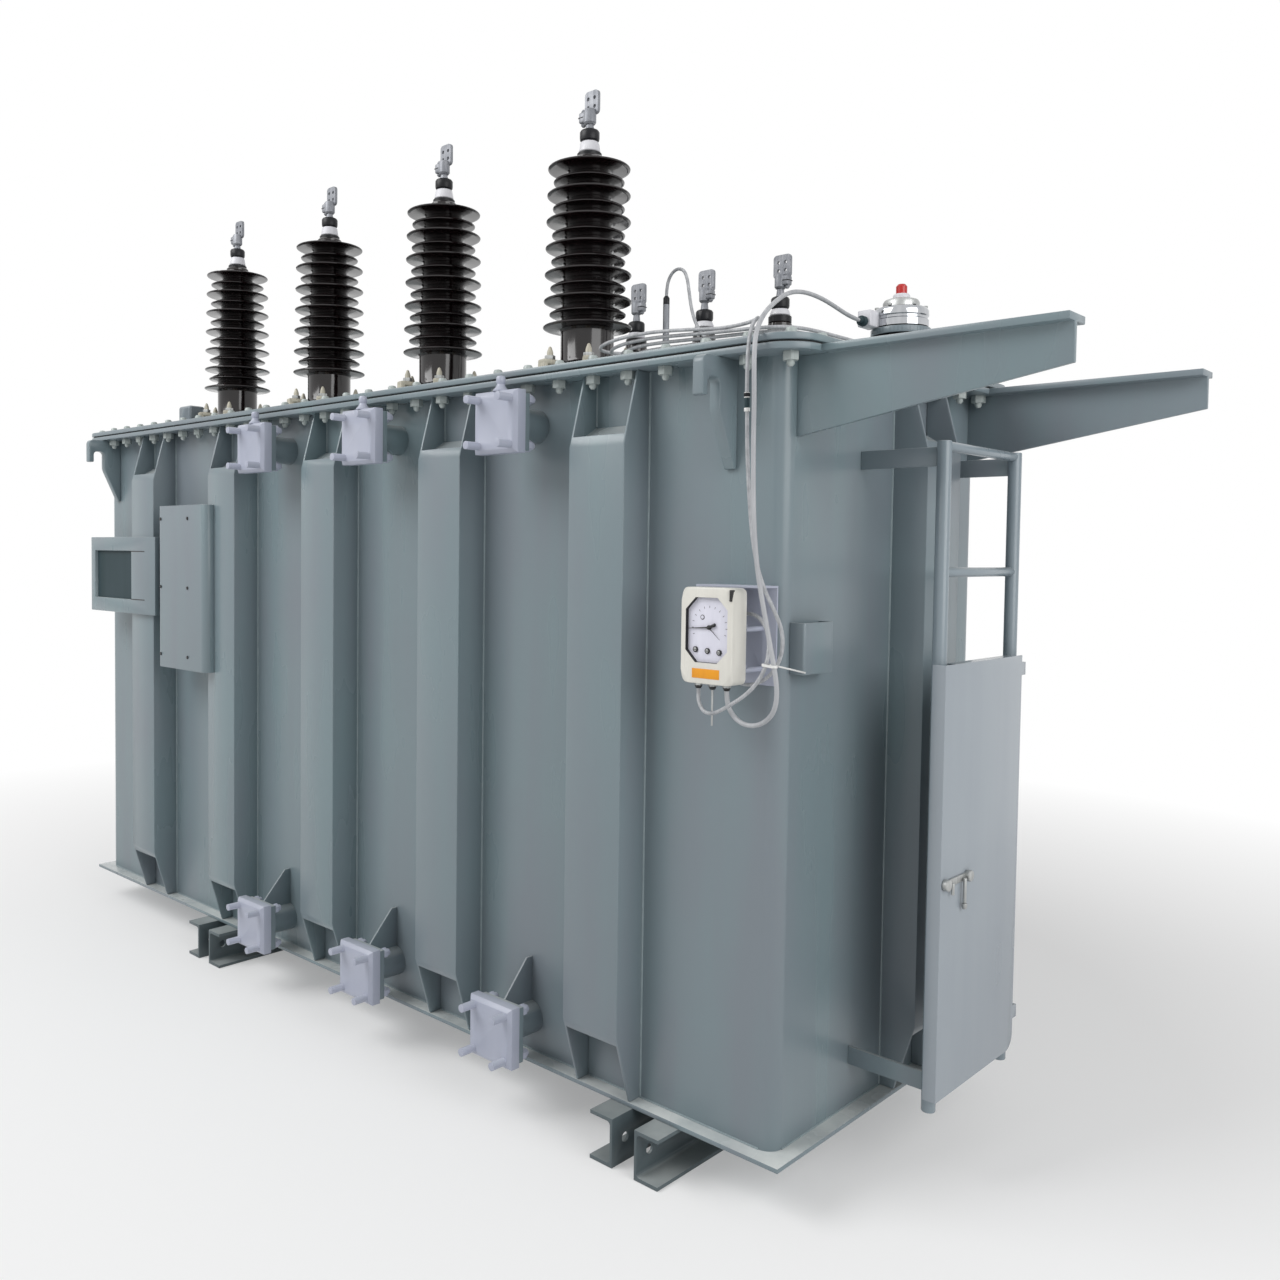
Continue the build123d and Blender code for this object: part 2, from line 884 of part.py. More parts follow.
with BuildPart() as gauge_bracket:
    plate_width = gauge_width + gauge_plate_margin
    plate_height = gauge_height + 2 * gauge_plate
    plate_middle = gauge_x + gauge_plate_margin / 2
    with Locations((plate_middle, -half_width - gauge_plate / 2, gauge_centre_height)):
        Box(plate_width, gauge_plate, plate_height)
    with Locations((plate_middle, case_back + gauge_standoff / 2, case_top + gauge_plate / 2)):
        Box(plate_width, gauge_standoff, gauge_plate)
    spacer_middle = gauge_centre_height - spacer_drop
    with BuildSketch(Plane.XZ.offset(half_width + gauge_plate)):
        with Locations((gauge_x + spacer_shift, spacer_middle)):
            with GridLocations(spacer_span, spacer_rise, 2, 2):
                Circle(spacer_diameter / 2)
    extrude(amount=gauge_standoff - gauge_plate)
finish(gauge_bracket, "gauge_bracket")

# Pressure relief valve on a short riser, with its switch and cable gland at the side
relief_x = end_wall - relief_end_inset
relief_y = half_width - relief_back_inset
valve_level = cover_top + relief_pipe_height + relief_flange_thickness
with BuildPart() as relief_riser:
    with Locations((relief_x, relief_y, cover_top + relief_pipe_height / 2)):
        Cylinder(relief_pipe_radius, relief_pipe_height)
    with Locations((relief_x, relief_y, valve_level - relief_flange_thickness / 2)):
        Cylinder(relief_flange_radius, relief_flange_thickness)
finish(relief_riser, "relief_riser")

with BuildPart() as relief_valve:
    tier_level = relief_ring_height + relief_tier_height
    pin_level = tier_level + relief_pin_height
    with BuildSketch(Plane.XZ.offset(-relief_y)):
        with BuildLine(Plane.XZ.offset(-relief_y).shift_origin((relief_x, relief_y, valve_level))):
            Polyline(
                (0, 0),
                (relief_ring_radius, 0),
                (relief_ring_radius, relief_ring_height - relief_ring_bevel),
                (relief_ring_radius - relief_ring_bevel, relief_ring_height),
                (relief_tier_radius, relief_ring_height),
                (relief_tier_radius, tier_level),
                (relief_pin_radius, tier_level),
                (relief_pin_radius, pin_level - relief_pin_bevel),
                (relief_pin_radius - relief_pin_bevel, pin_level),
                (0, pin_level),
                close=True,
            )
        make_face()
    revolve(axis=Axis((relief_x, relief_y, 0), (0, 0, 1)))
    switch_x = relief_x - switch_side
    switch_y = relief_y - switch_lead
    with Locations((switch_x, switch_y, valve_level + switch_height / 2)):
        Box(switch_width, switch_length, switch_height)
    gland_y = switch_y - (switch_length + switch_gland_length) / 2
    with Locations(Location((switch_x, gland_y, valve_level + switch_gland_lift), (90, 0, 0))):
        Cylinder(switch_gland_radius, switch_gland_length)
finish(relief_valve, "relief_valve")

# Thermometer pocket on the cover
well_x = end_wall - well_end_inset
well_y = well_front_inset - half_width
with BuildPart() as thermometer_pocket:
    with Locations((well_x, well_y, cover_top + well_boss_height / 2)):
        Cylinder(well_boss_radius, well_boss_height)
    with Locations((well_x, well_y, cover_top + well_boss_height + well_stem_height / 2)):
        Cylinder(well_stem_radius, well_stem_height)
finish(thermometer_pocket, "thermometer_pocket")

# Small junction box near the left end of the cover
with BuildPart() as cover_box:
    lug_y = lug_front_inset - half_width
    with Locations((left_wall + lug_end_inset, lug_y, cover_top + lug_height / 2)):
        Box(lug_length, lug_width, lug_height)
    lid_edges = cover_box.faces().sort_by(Axis.Z)[-1].edges()
    fillet(lid_edges + cover_box.edges().filter_by(Axis.Z), lug_round)
finish(cover_box, "cover_box")

# Plate frame and folded tray on the front wall, carried by the stiffeners' faces
frame_x = stiffener_places[0] - frame_lead
frame_back = -half_width - stiffener_depth
frame_depth = frame_standoff - stiffener_depth
with BuildPart() as nameplate_frame:
    with BuildSketch(Plane.XZ.offset(-frame_back)):
        with Locations((frame_x, frame_centre_height)):
            Rectangle(frame_width, frame_height)
        window_x = frame_x - (frame_width - frame_window_width) / 2 + frame_window_inset
        with Locations((window_x, frame_centre_height)):
            Rectangle(frame_window_width, frame_window_height, mode=Mode.SUBTRACT)
    extrude(amount=frame_depth)
    with BuildSketch(Plane.XZ.offset(-frame_back)):
        with Locations((frame_x, frame_centre_height)):
            Rectangle(frame_width, frame_height)
    extrude(amount=frame_sheet)
finish(nameplate_frame, "nameplate_frame")

with BuildPart() as front_tray:
    tray_x = frame_x + (frame_width + tray_width) / 2 + tray_gap
    with BuildSketch(Plane.XZ.offset(-frame_back)):
        with Locations((tray_x, tray_centre_height)):
            Rectangle(tray_width, tray_height)
    extrude(amount=tray_fold)
    fillet(front_tray.edges().filter_by(Axis.Z).group_by(Axis.Y)[0], tray_bend)
    offset(amount=-tray_sheet, openings=front_tray.faces().sort_by(Axis.Y)[-1])
finish(front_tray, "front_tray")

# Small folded cable plate beside the corner of the end wall
with BuildPart() as cable_plate:
    plate_y = cable_plate_edge - half_width + corner_radius + cable_plate_width / 2
    with BuildSketch(Plane.YZ.offset(end_wall)):
        with Locations((plate_y, cable_plate_centre_height)):
            Rectangle(cable_plate_width, cable_plate_height)
    extrude(amount=cable_plate_standoff)
    fillet(cable_plate.edges().filter_by(Axis.Z).group_by(Axis.X)[-1], cable_plate_bend)
    with BuildSketch(Plane.YZ.offset(end_wall)):
        with Locations((plate_y, cable_plate_centre_height)):
            Rectangle(cable_plate_width - 2 * cable_plate_sheet, cable_plate_height)
    extrude(amount=cable_plate_standoff - cable_plate_sheet, mode=Mode.SUBTRACT)
finish(cable_plate, "cable_plate")


# Cables: straight runs joined by arcs as large as the runs allow
def corner_radii(points):
    radii = []
    for before, here, after in zip(points, points[1:], points[2:]):
        run_in = Vector(*here) - Vector(*before)
        run_out = Vector(*after) - Vector(*here)
        half_turn = radians(run_in.get_angle(run_out)) / 2
        radii.append(arc_share * min(run_in.length, run_out.length) / tan(half_turn))
    return radii


def cable(route, diameter, name):
    points = [(tank_x + x, y, z) for x, y, z in route]
    radii = corner_radii(points)
    with BuildPart() as tube:
        with BuildLine() as path:
            FilletPolyline(*points, radius=radii)
        with BuildSketch(Plane(path.wire() @ 0, z_dir=path.wire() % 0)):
            Circle(diameter / 2)
        sweep()
    length = path.wire().length
    section = pi * diameter**2 / 4
    ratio = tube.part.volume / (section * length)
    print(f"{name}: {length:.0f} mm long, volume ratio {ratio:.4f}")
    print("radii in diameters:", [round(radius / diameter, 1) for radius in radii])
    finish(tube, name)


cable(relief_route, relief_cable_diameter, "relief_cable")
cable(well_route, capillary_diameter, "well_capillary")
cable(gauge_route, capillary_diameter, "gauge_capillary")

# Hank of spare capillary on the cover
with BuildPart() as capillary_hank:
    with BuildSketch(Plane.XY.offset(cover_top)) as hank_shape:
        with BuildLine():
            Polyline(*[(tank_x + x, y) for x, y in hank_outline], close=True)
        make_face()
        fillet(hank_shape.vertices(), hank_bend)
    extrude(amount=hank_height)
    with BuildSketch(Plane.XY.offset(cover_top)) as hole_shape:
        with BuildLine():
            Polyline(*[(tank_x + x, y) for x, y in hank_hole], close=True)
        make_face()
        fillet(hole_shape.vertices(), hank_hole_bend)
    extrude(amount=hank_height, mode=Mode.SUBTRACT)
finish(capillary_hank, "capillary_hank")
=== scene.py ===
from math import cos, pi, radians, sin

import bmesh
import bpy
from mathutils import Matrix, Vector


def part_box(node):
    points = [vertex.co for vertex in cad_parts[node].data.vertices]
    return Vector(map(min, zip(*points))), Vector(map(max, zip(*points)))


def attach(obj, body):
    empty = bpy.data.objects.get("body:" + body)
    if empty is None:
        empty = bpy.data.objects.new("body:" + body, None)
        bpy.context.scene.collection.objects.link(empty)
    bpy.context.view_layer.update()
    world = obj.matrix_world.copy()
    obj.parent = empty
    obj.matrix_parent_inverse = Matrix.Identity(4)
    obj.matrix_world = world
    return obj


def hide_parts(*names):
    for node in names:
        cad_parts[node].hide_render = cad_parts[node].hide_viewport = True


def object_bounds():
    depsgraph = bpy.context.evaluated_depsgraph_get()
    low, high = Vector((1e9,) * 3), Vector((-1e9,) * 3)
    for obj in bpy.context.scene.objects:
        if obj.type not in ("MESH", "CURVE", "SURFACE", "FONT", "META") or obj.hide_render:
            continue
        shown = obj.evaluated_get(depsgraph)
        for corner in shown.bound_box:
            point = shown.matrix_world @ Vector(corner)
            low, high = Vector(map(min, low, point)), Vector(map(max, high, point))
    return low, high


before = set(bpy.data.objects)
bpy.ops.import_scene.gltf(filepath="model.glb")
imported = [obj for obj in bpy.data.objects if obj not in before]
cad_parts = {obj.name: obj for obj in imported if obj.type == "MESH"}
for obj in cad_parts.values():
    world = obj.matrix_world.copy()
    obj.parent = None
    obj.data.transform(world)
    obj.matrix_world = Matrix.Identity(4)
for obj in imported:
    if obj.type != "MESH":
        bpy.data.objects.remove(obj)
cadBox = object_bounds()
scene = bpy.context.scene
scene.view_settings.view_transform = "Standard"

coverLow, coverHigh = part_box("cover_plate")
tankX = (coverLow.x + coverHigh.x) / 2
coverTop = coverHigh.z
print("frame loaded, tank centre at", round(tankX, 3))


def at(x, y, z):
    return Vector((tankX + x, y, z))  # places are given from the tank's middle


def addObject(name, data):
    item = bpy.data.objects.new(name, data)
    scene.collection.objects.link(item)
    return item


# Camera, at the photograph's viewing angle
photoCamera = dict(
    place=(3.168, -2.724, 1.540), azimuth=43.80, pitch=-2.33, roll=0.66, sensor=36, lens=31.94,
    shift=(0.0589, -0.0316),
)
aim = radians(photoCamera["azimuth"])
dip = radians(photoCamera["pitch"])
forward = Vector((-sin(aim) * cos(dip), cos(aim) * cos(dip), sin(dip)))
cameraData = bpy.data.cameras.new("photoCamera")
cameraData.sensor_width = photoCamera["sensor"]
cameraData.lens = photoCamera["lens"]
cameraData.shift_x, cameraData.shift_y = photoCamera["shift"]
turned = forward.to_track_quat("-Z", "Y").to_matrix().to_4x4()
rolled = Matrix.Rotation(radians(photoCamera["roll"]), 4, "Z")
camera = addObject("photoCamera", cameraData)
camera.matrix_world = Matrix.Translation(at(*photoCamera["place"])) @ turned @ rolled
scene.camera = camera
print("camera set")


# Shared effects for the finishes
def newGroup(name, inputs, outputs):
    group = bpy.data.node_groups.new(name, "ShaderNodeTree")
    for way, sockets in (("INPUT", inputs), ("OUTPUT", outputs)):
        for label, kind in sockets.items():
            group.interface.new_socket(label, in_out=way, socket_type="NodeSocket" + kind)
    entry = group.nodes.new("NodeGroupInput").outputs
    leave = group.nodes.new("NodeGroupOutput")
    return group, entry, leave


def fill(tree, node, values):
    for label, value in values.items():
        if hasattr(value, "links"):  # a socket is linked, a plain value is set
            tree.links.new(value, node.inputs[label])
        else:
            node.inputs[label].default_value = value


def addNoise(tree, scale, detail, stretch=(1, 1, 1)):
    place = tree.nodes.new("ShaderNodeTexCoord")
    mapping = tree.nodes.new("ShaderNodeMapping")
    fill(tree, mapping, {"Vector": place.outputs["Object"], "Scale": stretch})
    noise = tree.nodes.new("ShaderNodeTexNoise")
    fill(tree, noise, {"Vector": mapping.outputs["Vector"], "Scale": scale, "Detail": detail})
    return noise.outputs["Fac"]


def addRange(tree, value, fromLow, fromHigh, toLow, toHigh):
    node = tree.nodes.new("ShaderNodeMapRange")
    fill(tree, node, {
        "Value": value, "From Min": fromLow, "From Max": fromHigh, "To Min": toLow, "To Max": toHigh,
    })
    return node.outputs["Result"]


def addMix(tree, share, first, second):
    node = tree.nodes.new("ShaderNodeMix")
    node.data_type = "RGBA"
    fill(tree, node, {0: share, 6: first, 7: second})  # the share and the two colours
    return node.outputs[2]


def addMath(tree, kind, first, second):
    node = tree.nodes.new("ShaderNodeMath")
    node.operation = kind
    fill(tree, node, {0: first, 1: second})
    return node.outputs[0]


sprayedCoat = dict(
    patchDetail=4, streakAndReflectionDetail=3, streakAndReflectionStretch=(6, 6, 0.5), grainDetail=2, shadeRange=(0.75, 1.25),
    roughRange=(0.7, 1.3),
)
# upward faces are mixed towards a pale tone: partly settled dust, partly painted light from above and
# painted sky reflection on the tops
settledDustAndTopLight = dict(facing=(0.55, 0.98), scale=7.0, detail=5, spread=(0.3, 0.7), least=0.45)


def makeCoatGroup(plan):
    group, entry, leave = newGroup(
        "sprayedCoat",
        {
            "Color": "Color", "Shade": "Color", "Patch Scale": "Float", "Grain Scale": "Float",
            "Rough Low": "Float", "Rough High": "Float",
        },
        {"Color": "Color", "Roughness": "Float", "Height": "Float"},
    )
    patch = addNoise(group, entry["Patch Scale"], plan["patchDetail"])
    # the streaks run down the walls: paint runs, and on the tank enamel also painted reflection bands
    streakAndReflection = addNoise(group, entry["Patch Scale"], plan["streakAndReflectionDetail"], plan["streakAndReflectionStretch"])
    both = addMath(group, "ADD", patch, streakAndReflection)
    share = addRange(group, both, *plan["shadeRange"], 0, 1)
    fill(group, leave, {
        "Color": addMix(group, share, entry["Color"], entry["Shade"]),
        "Roughness": addRange(group, both, *plan["roughRange"], entry["Rough Low"], entry["Rough High"]),
        "Height": addNoise(group, entry["Grain Scale"], plan["grainDetail"]),
    })
    return group


def makeDustAndTopLightGroup(plan):
    group, entry, leave = newGroup(
        "settledDustAndTopLight", {"Color": "Color", "DustAndTopLight": "Color", "Amount": "Float"}, {"Color": "Color"}
    )
    facing = group.nodes.new("ShaderNodeNewGeometry")
    split = group.nodes.new("ShaderNodeSeparateXYZ")
    fill(group, split, {"Vector": facing.outputs["Normal"]})
    upward = addRange(group, split.outputs["Z"], *plan["facing"], 0, 1)
    noise = addNoise(group, plan["scale"], plan["detail"])
    patch = addRange(group, noise, *plan["spread"], plan["least"], 1)
    mask = addMath(group, "MULTIPLY", addMath(group, "MULTIPLY", upward, patch), entry["Amount"])
    fill(group, leave, {"Color": addMix(group, mask, entry["Color"], entry["DustAndTopLight"])})
    return group


coatGroup = makeCoatGroup(sprayedCoat)
dustAndTopLightGroup = makeDustAndTopLightGroup(settledDustAndTopLight)


def tone(red, green, blue):
    def channel(value):
        value /= 255
        return value / 12.92 if value <= 0.04045 else ((value + 0.055) / 1.055) ** 2.4
    return (channel(red), channel(green), channel(blue), 1)


# color and shade are the two ends of the patches, rough the range that they give the gloss
finishDefaults = dict(patch=1.4, grain=320, bump=0.05, metallic=0, coat=0, specular=0.5)
dustAndTopLightTone = (206, 210, 208)
bumpDepth = 0.002
coatGloss = 0.05
finishes = {
    # the tank enamel's two tones make its patches and streaks partly random tone, partly painted reflection
    # bands
    "tankEnamel": dict(color=(117, 134, 139), shade=(118, 127, 134), rough=(0.24, 0.36), dustAndTopLight=0.6),
    # the weld finish is lighter than the tank enamel: a painted highlight along the beads
    "weldSeamWithPaintedHighlight": dict(color=(140, 154, 158), shade=(128, 142, 146), rough=(0.3, 0.42), patch=40, bump=0.3),
    "boltEnamel": dict(
        color=(176, 184, 182), shade=(158, 167, 165), rough=(0.34, 0.46), patch=30, bump=0.08
    ),
    "railEnamel": dict(color=(132, 144, 151), shade=(123, 135, 143), rough=(0.2, 0.3), dustAndTopLight=0.4),
    # the tank enamel again with its tops made fully pale: painted sky reflection on the base plate's top,
    # with some dust
    "footEnamelPaintedSheen": dict(color=(117, 134, 139), shade=(118, 127, 134), rough=(0.2, 0.32), dustAndTopLight=1.0),
    "skidEnamel": dict(color=(88, 100, 104), shade=(74, 85, 89), rough=(0.36, 0.5), dustAndTopLight=0.45, bump=0.08),
    "blankEnamel": dict(color=(172, 176, 191), shade=(162, 167, 183), rough=(0.3, 0.42), dustAndTopLight=0.2),
    "doorEnamel": dict(color=(152, 160, 167), shade=(144, 152, 160), rough=(0.18, 0.28), dustAndTopLight=0.2),
    "gasketRubber": dict(color=(30, 31, 33), shade=(22, 23, 25), rough=(0.6, 0.8), grain=900, bump=0.15),
    "brownGlaze": dict(
        color=(24, 15, 16), shade=(16, 10, 11), rough=(0.08, 0.16), patch=6, bump=0.02, coat=0.15
    ),
    "blackSeal": dict(color=(26, 27, 31), shade=(18, 19, 22), rough=(0.3, 0.45), grain=900, specular=0.25),
    "whiteSeal": dict(color=(222, 222, 226), shade=(206, 206, 212), rough=(0.3, 0.45), patch=12, bump=0.03),
    "tinnedMetal": dict(
        color=(146, 148, 153), shade=(124, 127, 133), rough=(0.46, 0.6), metallic=0.4, patch=30, bump=0.012
    ),
    "zincPlate": dict(
        color=(188, 190, 189), shade=(158, 160, 159), rough=(0.3, 0.48), metallic=0.85, patch=25, bump=0.03
    ),
    "polishedSteel": dict(
        color=(192, 194, 197), shade=(172, 175, 179), rough=(0.06, 0.14), metallic=1, patch=20, bump=0.01
    ),
    "creamClamp": dict(color=(196, 191, 174), shade=(168, 164, 150), rough=(0.4, 0.55), patch=18, bump=0.15),
    "creamCase": dict(color=(224, 222, 214), shade=(214, 212, 204), rough=(0.24, 0.36), patch=9, bump=0.04),
    "dialWhite": dict(color=(226, 226, 238), shade=(218, 218, 231), rough=(0.4, 0.5), patch=14, bump=0.01),
    "dialBlack": dict(color=(20, 20, 22), shade=(14, 14, 16), rough=(0.3, 0.4), patch=20, bump=0.01),
    "orangeStrip": dict(color=(232, 155, 22), shade=(222, 144, 18), rough=(0.4, 0.5), patch=16, bump=0.02),
    "redPaint": dict(color=(186, 34, 30), shade=(164, 26, 24), rough=(0.25, 0.35), patch=25, bump=0.03),
    "cableSheath": dict(
        color=(176, 178, 181), shade=(160, 162, 166), rough=(0.42, 0.56), patch=14, bump=0.1
    ),
    "capillaryBraid": dict(
        color=(186, 188, 191), shade=(150, 152, 156), rough=(0.32, 0.48), patch=60, grain=1500, bump=0.3
    ),
    "tieWhite": dict(color=(232, 232, 230), shade=(220, 220, 218), rough=(0.35, 0.5), patch=20, bump=0.02),
    "windowDark": dict(color=(46, 62, 68), shade=(40, 56, 58), rough=(0.5, 0.62), bump=0.01, specular=0.2),
}


def newMaterial(name):
    material = bpy.data.materials.new(name)
    material.use_nodes = True
    return material, material.node_tree, material.node_tree.nodes["Principled BSDF"]


def makeFinish(name, plan):
    plan = finishDefaults | plan
    material, tree, shader = newMaterial(name)
    coat = tree.nodes.new("ShaderNodeGroup")
    coat.node_tree = coatGroup
    roughLow, roughHigh = plan["rough"]
    fill(tree, coat, {
        "Color": tone(*plan["color"]), "Shade": tone(*plan["shade"]), "Patch Scale": plan["patch"],
        "Grain Scale": plan["grain"], "Rough Low": roughLow, "Rough High": roughHigh,
    })
    color = coat.outputs["Color"]
    # the pale tone on upward faces is partly dust, partly painted top light and sky reflection
    if "dustAndTopLight" in plan:
        dustAndTopLight = tree.nodes.new("ShaderNodeGroup")
        dustAndTopLight.node_tree = dustAndTopLightGroup
        fill(tree, dustAndTopLight, {"Color": color, "DustAndTopLight": tone(*dustAndTopLightTone), "Amount": plan["dustAndTopLight"]})
        color = dustAndTopLight.outputs["Color"]
    bump = tree.nodes.new("ShaderNodeBump")
    fill(tree, bump, {"Strength": plan["bump"], "Distance": bumpDepth, "Height": coat.outputs["Height"]})
    fill(tree, shader, {
        "Base Color": color, "Roughness": coat.outputs["Roughness"], "Normal": bump.outputs["Normal"],
        "Metallic": plan["metallic"], "Coat Weight": plan["coat"], "Coat Roughness": coatGloss,
        "Specular IOR Level": plan["specular"],
    })
    return material


finish = {name: makeFinish(name, plan) for name, plan in finishes.items()}
print("finishes made", len(finish))


# Helpers that shape and place the pieces
def lift(height):
    return Vector((0, 0, height))


def keepShape(name, bm):
    mesh = bpy.data.meshes.new(name)
    bm.to_mesh(mesh)
    bm.free()
    return mesh


def finishPiece(name, bm, materials, nodes=(), body="transformer", smooth=35):
    for face in bm.faces:
        face.smooth = True
    for edge in bm.edges:
        edge.smooth = edge.is_manifold and edge.calc_face_angle(0) < radians(smooth)
    mesh = keepShape(name, bm)
    for label in materials:
        mesh.materials.append(finish[label])
    piece = addObject(name, mesh)
    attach(piece, body)
    if nodes:
        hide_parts(*nodes)
    return piece


def joinPart(bm, part, index=None):
    if index is not None:
        for face in part.faces:
            face.material_index = index
    mesh = keepShape("part", part)
    bm.from_mesh(mesh)
    bpy.data.meshes.remove(mesh)


def bevel(bm, geom, size, segments, kind="EDGES"):
    bmesh.ops.bevel(
        bm, geom=geom, offset=size, offset_type="OFFSET", segments=segments, profile=0.5,
        affect=kind, clamp_overlap=True, material=-1,
    )


def roundEdges(bm, verts, size, segments, sharp=50):
    edges = {edge for vert in verts for edge in vert.link_edges}
    picked = [edge for edge in edges if edge.is_manifold and edge.calc_face_angle(0) > radians(sharp)]
    bevel(bm, picked, size, segments)


def addBlock(bm, low, high, edge=0.0, index=0, segments=2):
    part = bmesh.new()
    low, high = Vector(low), Vector(high)
    size = high - low
    place = Matrix.Translation((low + high) / 2)
    bmesh.ops.create_cube(part, size=1.0, matrix=place @ Matrix.Diagonal((*size, 1)))
    if edge > 0:
        roundEdges(part, part.verts, edge, segments)
    joinPart(bm, part, index)


def addRod(bm, first, last, radius, tip=None, sides=24, edge=0.0, index=0):
    part = bmesh.new()
    run = Vector(last) - Vector(first)
    turn = run.to_track_quat("Z", "Y").to_matrix().to_4x4()
    place = Matrix.Translation((Vector(first) + Vector(last)) / 2) @ turn
    bmesh.ops.create_cone(
        part, cap_ends=True, cap_tris=False, segments=sides, radius1=radius,
        radius2=radius if tip is None else tip, depth=run.length, matrix=place,
    )
    if edge > 0:
        roundEdges(part, part.verts, edge, segments=2, sharp=62)
    joinPart(bm, part, index)


def addTurned(bm, outline, centre, sides=48, index=0):
    part = bmesh.new()
    points = dict.fromkeys([(0, outline[0][1]), *outline, (0, outline[-1][1])])  # runs in to the axis
    verts = [part.verts.new(Vector(centre) + Vector((radius, 0, height))) for radius, height in points]
    edges = [part.edges.new(pair) for pair in zip(verts, verts[1:])]
    bmesh.ops.spin(
        part, geom=verts + edges, cent=centre, axis=(0, 0, 1), angle=2 * pi, steps=sides,
        use_merge=True, use_duplicate=False,
    )
    bmesh.ops.remove_doubles(part, verts=part.verts, dist=1e-6)  # closes the poles
    bmesh.ops.recalc_face_normals(part, faces=part.faces)
    joinPart(bm, part, index)


def addBlockAt(bm, spot, low, high, *shape):
    addBlock(bm, spot + Vector(low), spot + Vector(high), *shape)


def addPost(bm, spot, low, high, radius, **shape):
    addRod(bm, spot + lift(low), spot + lift(high), radius, **shape)


def addCopy(bm, template, place):
    count = len(bm.verts)
    bm.from_mesh(template)
    bm.verts.ensure_lookup_table()
    bmesh.ops.transform(bm, matrix=place, verts=bm.verts[count:])


# Free cords: the relief valve's cable and the thermometer's capillary with its hank
reliefCable = dict(
    diameter=0.011, length=1.737,
    route=[
        (1.600, 0.040, 2.176), (1.600, 0.012, 2.177), (1.600, -0.030, 2.182), (1.602, -0.088, 2.191),
        (1.607, -0.154, 2.198), (1.613, -0.228, 2.199), (1.623, -0.302, 2.190), (1.637, -0.370, 2.170),
        (1.655, -0.434, 2.142), (1.676, -0.498, 2.112), (1.697, -0.560, 2.076), (1.713, -0.606, 2.032),
        (1.721, -0.622, 1.974), (1.723, -0.621, 1.890), (1.721, -0.618, 1.788), (1.722, -0.617, 1.680),
        (1.728, -0.618, 1.580), (1.739, -0.618, 1.498), (1.755, -0.617, 1.424), (1.771, -0.616, 1.352),
        (1.785, -0.615, 1.292), (1.792, -0.613, 1.242), (1.786, -0.611, 1.202), (1.765, -0.609, 1.175),
        (1.735, -0.607, 1.160), (1.705, -0.605, 1.158), (1.680, -0.603, 1.166), (1.661, -0.602, 1.183),
        (1.650, -0.602, 1.205), (1.649, -0.602, 1.230),
    ],
)
capillary = dict(
    diameter=0.009, length=8.825,
    wellRoute=[
        (1.146, -0.218, 2.262), (1.147, -0.218, 2.282), (1.152, -0.218, 2.305), (1.166, -0.218, 2.325),
        (1.188, -0.219, 2.332), (1.210, -0.220, 2.322), (1.223, -0.222, 2.294), (1.232, -0.225, 2.252),
        (1.244, -0.229, 2.206), (1.264, -0.234, 2.164), (1.297, -0.241, 2.126), (1.342, -0.250, 2.100),
        (1.388, -0.256, 2.088), (1.426, -0.267, 2.080), (1.442, -0.297, 2.070), (1.426, -0.327, 2.062),
        (1.384, -0.338, 2.053),
    ],
    # the outermost turn from its left end: place, the way inner turns move in, how far it bows up
    turn=[
        ((1.178, -0.394), (3.0, 1.0), 0), ((1.138, -0.432), (3.0, 1.0), 0),
        ((1.123, -0.463), (3.0, 1.0), 0.002), ((1.135, -0.494), (3.0, 1.0), 0.005),
        ((1.170, -0.509), (3.0, 1.0), 0.011), ((1.230, -0.511), (2.0, 1.0), 0.018),
        ((1.320, -0.509), (0.5, 1.0), 0.021), ((1.430, -0.505), (0, 1.0), 0.014),
        ((1.560, -0.508), (0, 1.0), 0.003), ((1.650, -0.503), (-0.5, 1.0), 0),
        ((1.704, -0.473), (-0.8, 0.8), 0), ((1.725, -0.400), (-1.0, 0.2), 0.002),
        ((1.723, -0.280), (-1.0, -0.3), 0.004), ((1.727, -0.160), (-1.0, -1.2), 0.002),
        ((1.722, -0.100), (-1.0, -1.95), 0), ((1.690, -0.066), (-1.0, -1.95), 0),
        ((1.640, -0.068), (-1.0, -1.95), 0), ((1.560, -0.115), (-0.24, -1.4), 0),
        ((1.440, -0.200), (0.58, -0.82), 0), ((1.300, -0.300), (0.58, -0.82), 0),
    ],
    turns=4, lastRun=8, step=0.010, rise=0.0078, low=2.0425,
    gaugeRoute=[
        (1.530, -0.495, 2.081), (1.586, -0.487, 2.084), (1.624, -0.491, 2.087), (1.655, -0.510, 2.088),
        (1.676, -0.547, 2.080),
        (1.690, -0.590, 2.053), (1.698, -0.612, 2.002), (1.700, -0.617, 1.938), (1.699, -0.613, 1.862),
        (1.697, -0.607, 1.776), (1.699, -0.601, 1.690), (1.705, -0.598, 1.606), (1.716, -0.595, 1.532),
        (1.734, -0.588, 1.468), (1.757, -0.577, 1.418), (1.772, -0.566, 1.372), (1.768, -0.558, 1.326),
        (1.747, -0.552, 1.284), (1.712, -0.548, 1.254), (1.671, -0.546, 1.240), (1.632, -0.546, 1.246),
        (1.603, -0.546, 1.274), (1.592, -0.546, 1.314), (1.600, -0.547, 1.356), (1.626, -0.549, 1.392),
        (1.664, -0.553, 1.409), (1.704, -0.560, 1.403), (1.736, -0.572, 1.376), (1.752, -0.586, 1.336),
        (1.752, -0.599, 1.292), (1.734, -0.610, 1.252), (1.704, -0.617, 1.222), (1.668, -0.621, 1.199),
        (1.646, -0.619, 1.187), (1.621, -0.615, 1.176), (1.591, -0.608, 1.175), (1.570, -0.603, 1.197),
        (1.569, -0.602, 1.224), (1.569, -0.602, 1.230),
    ],
)


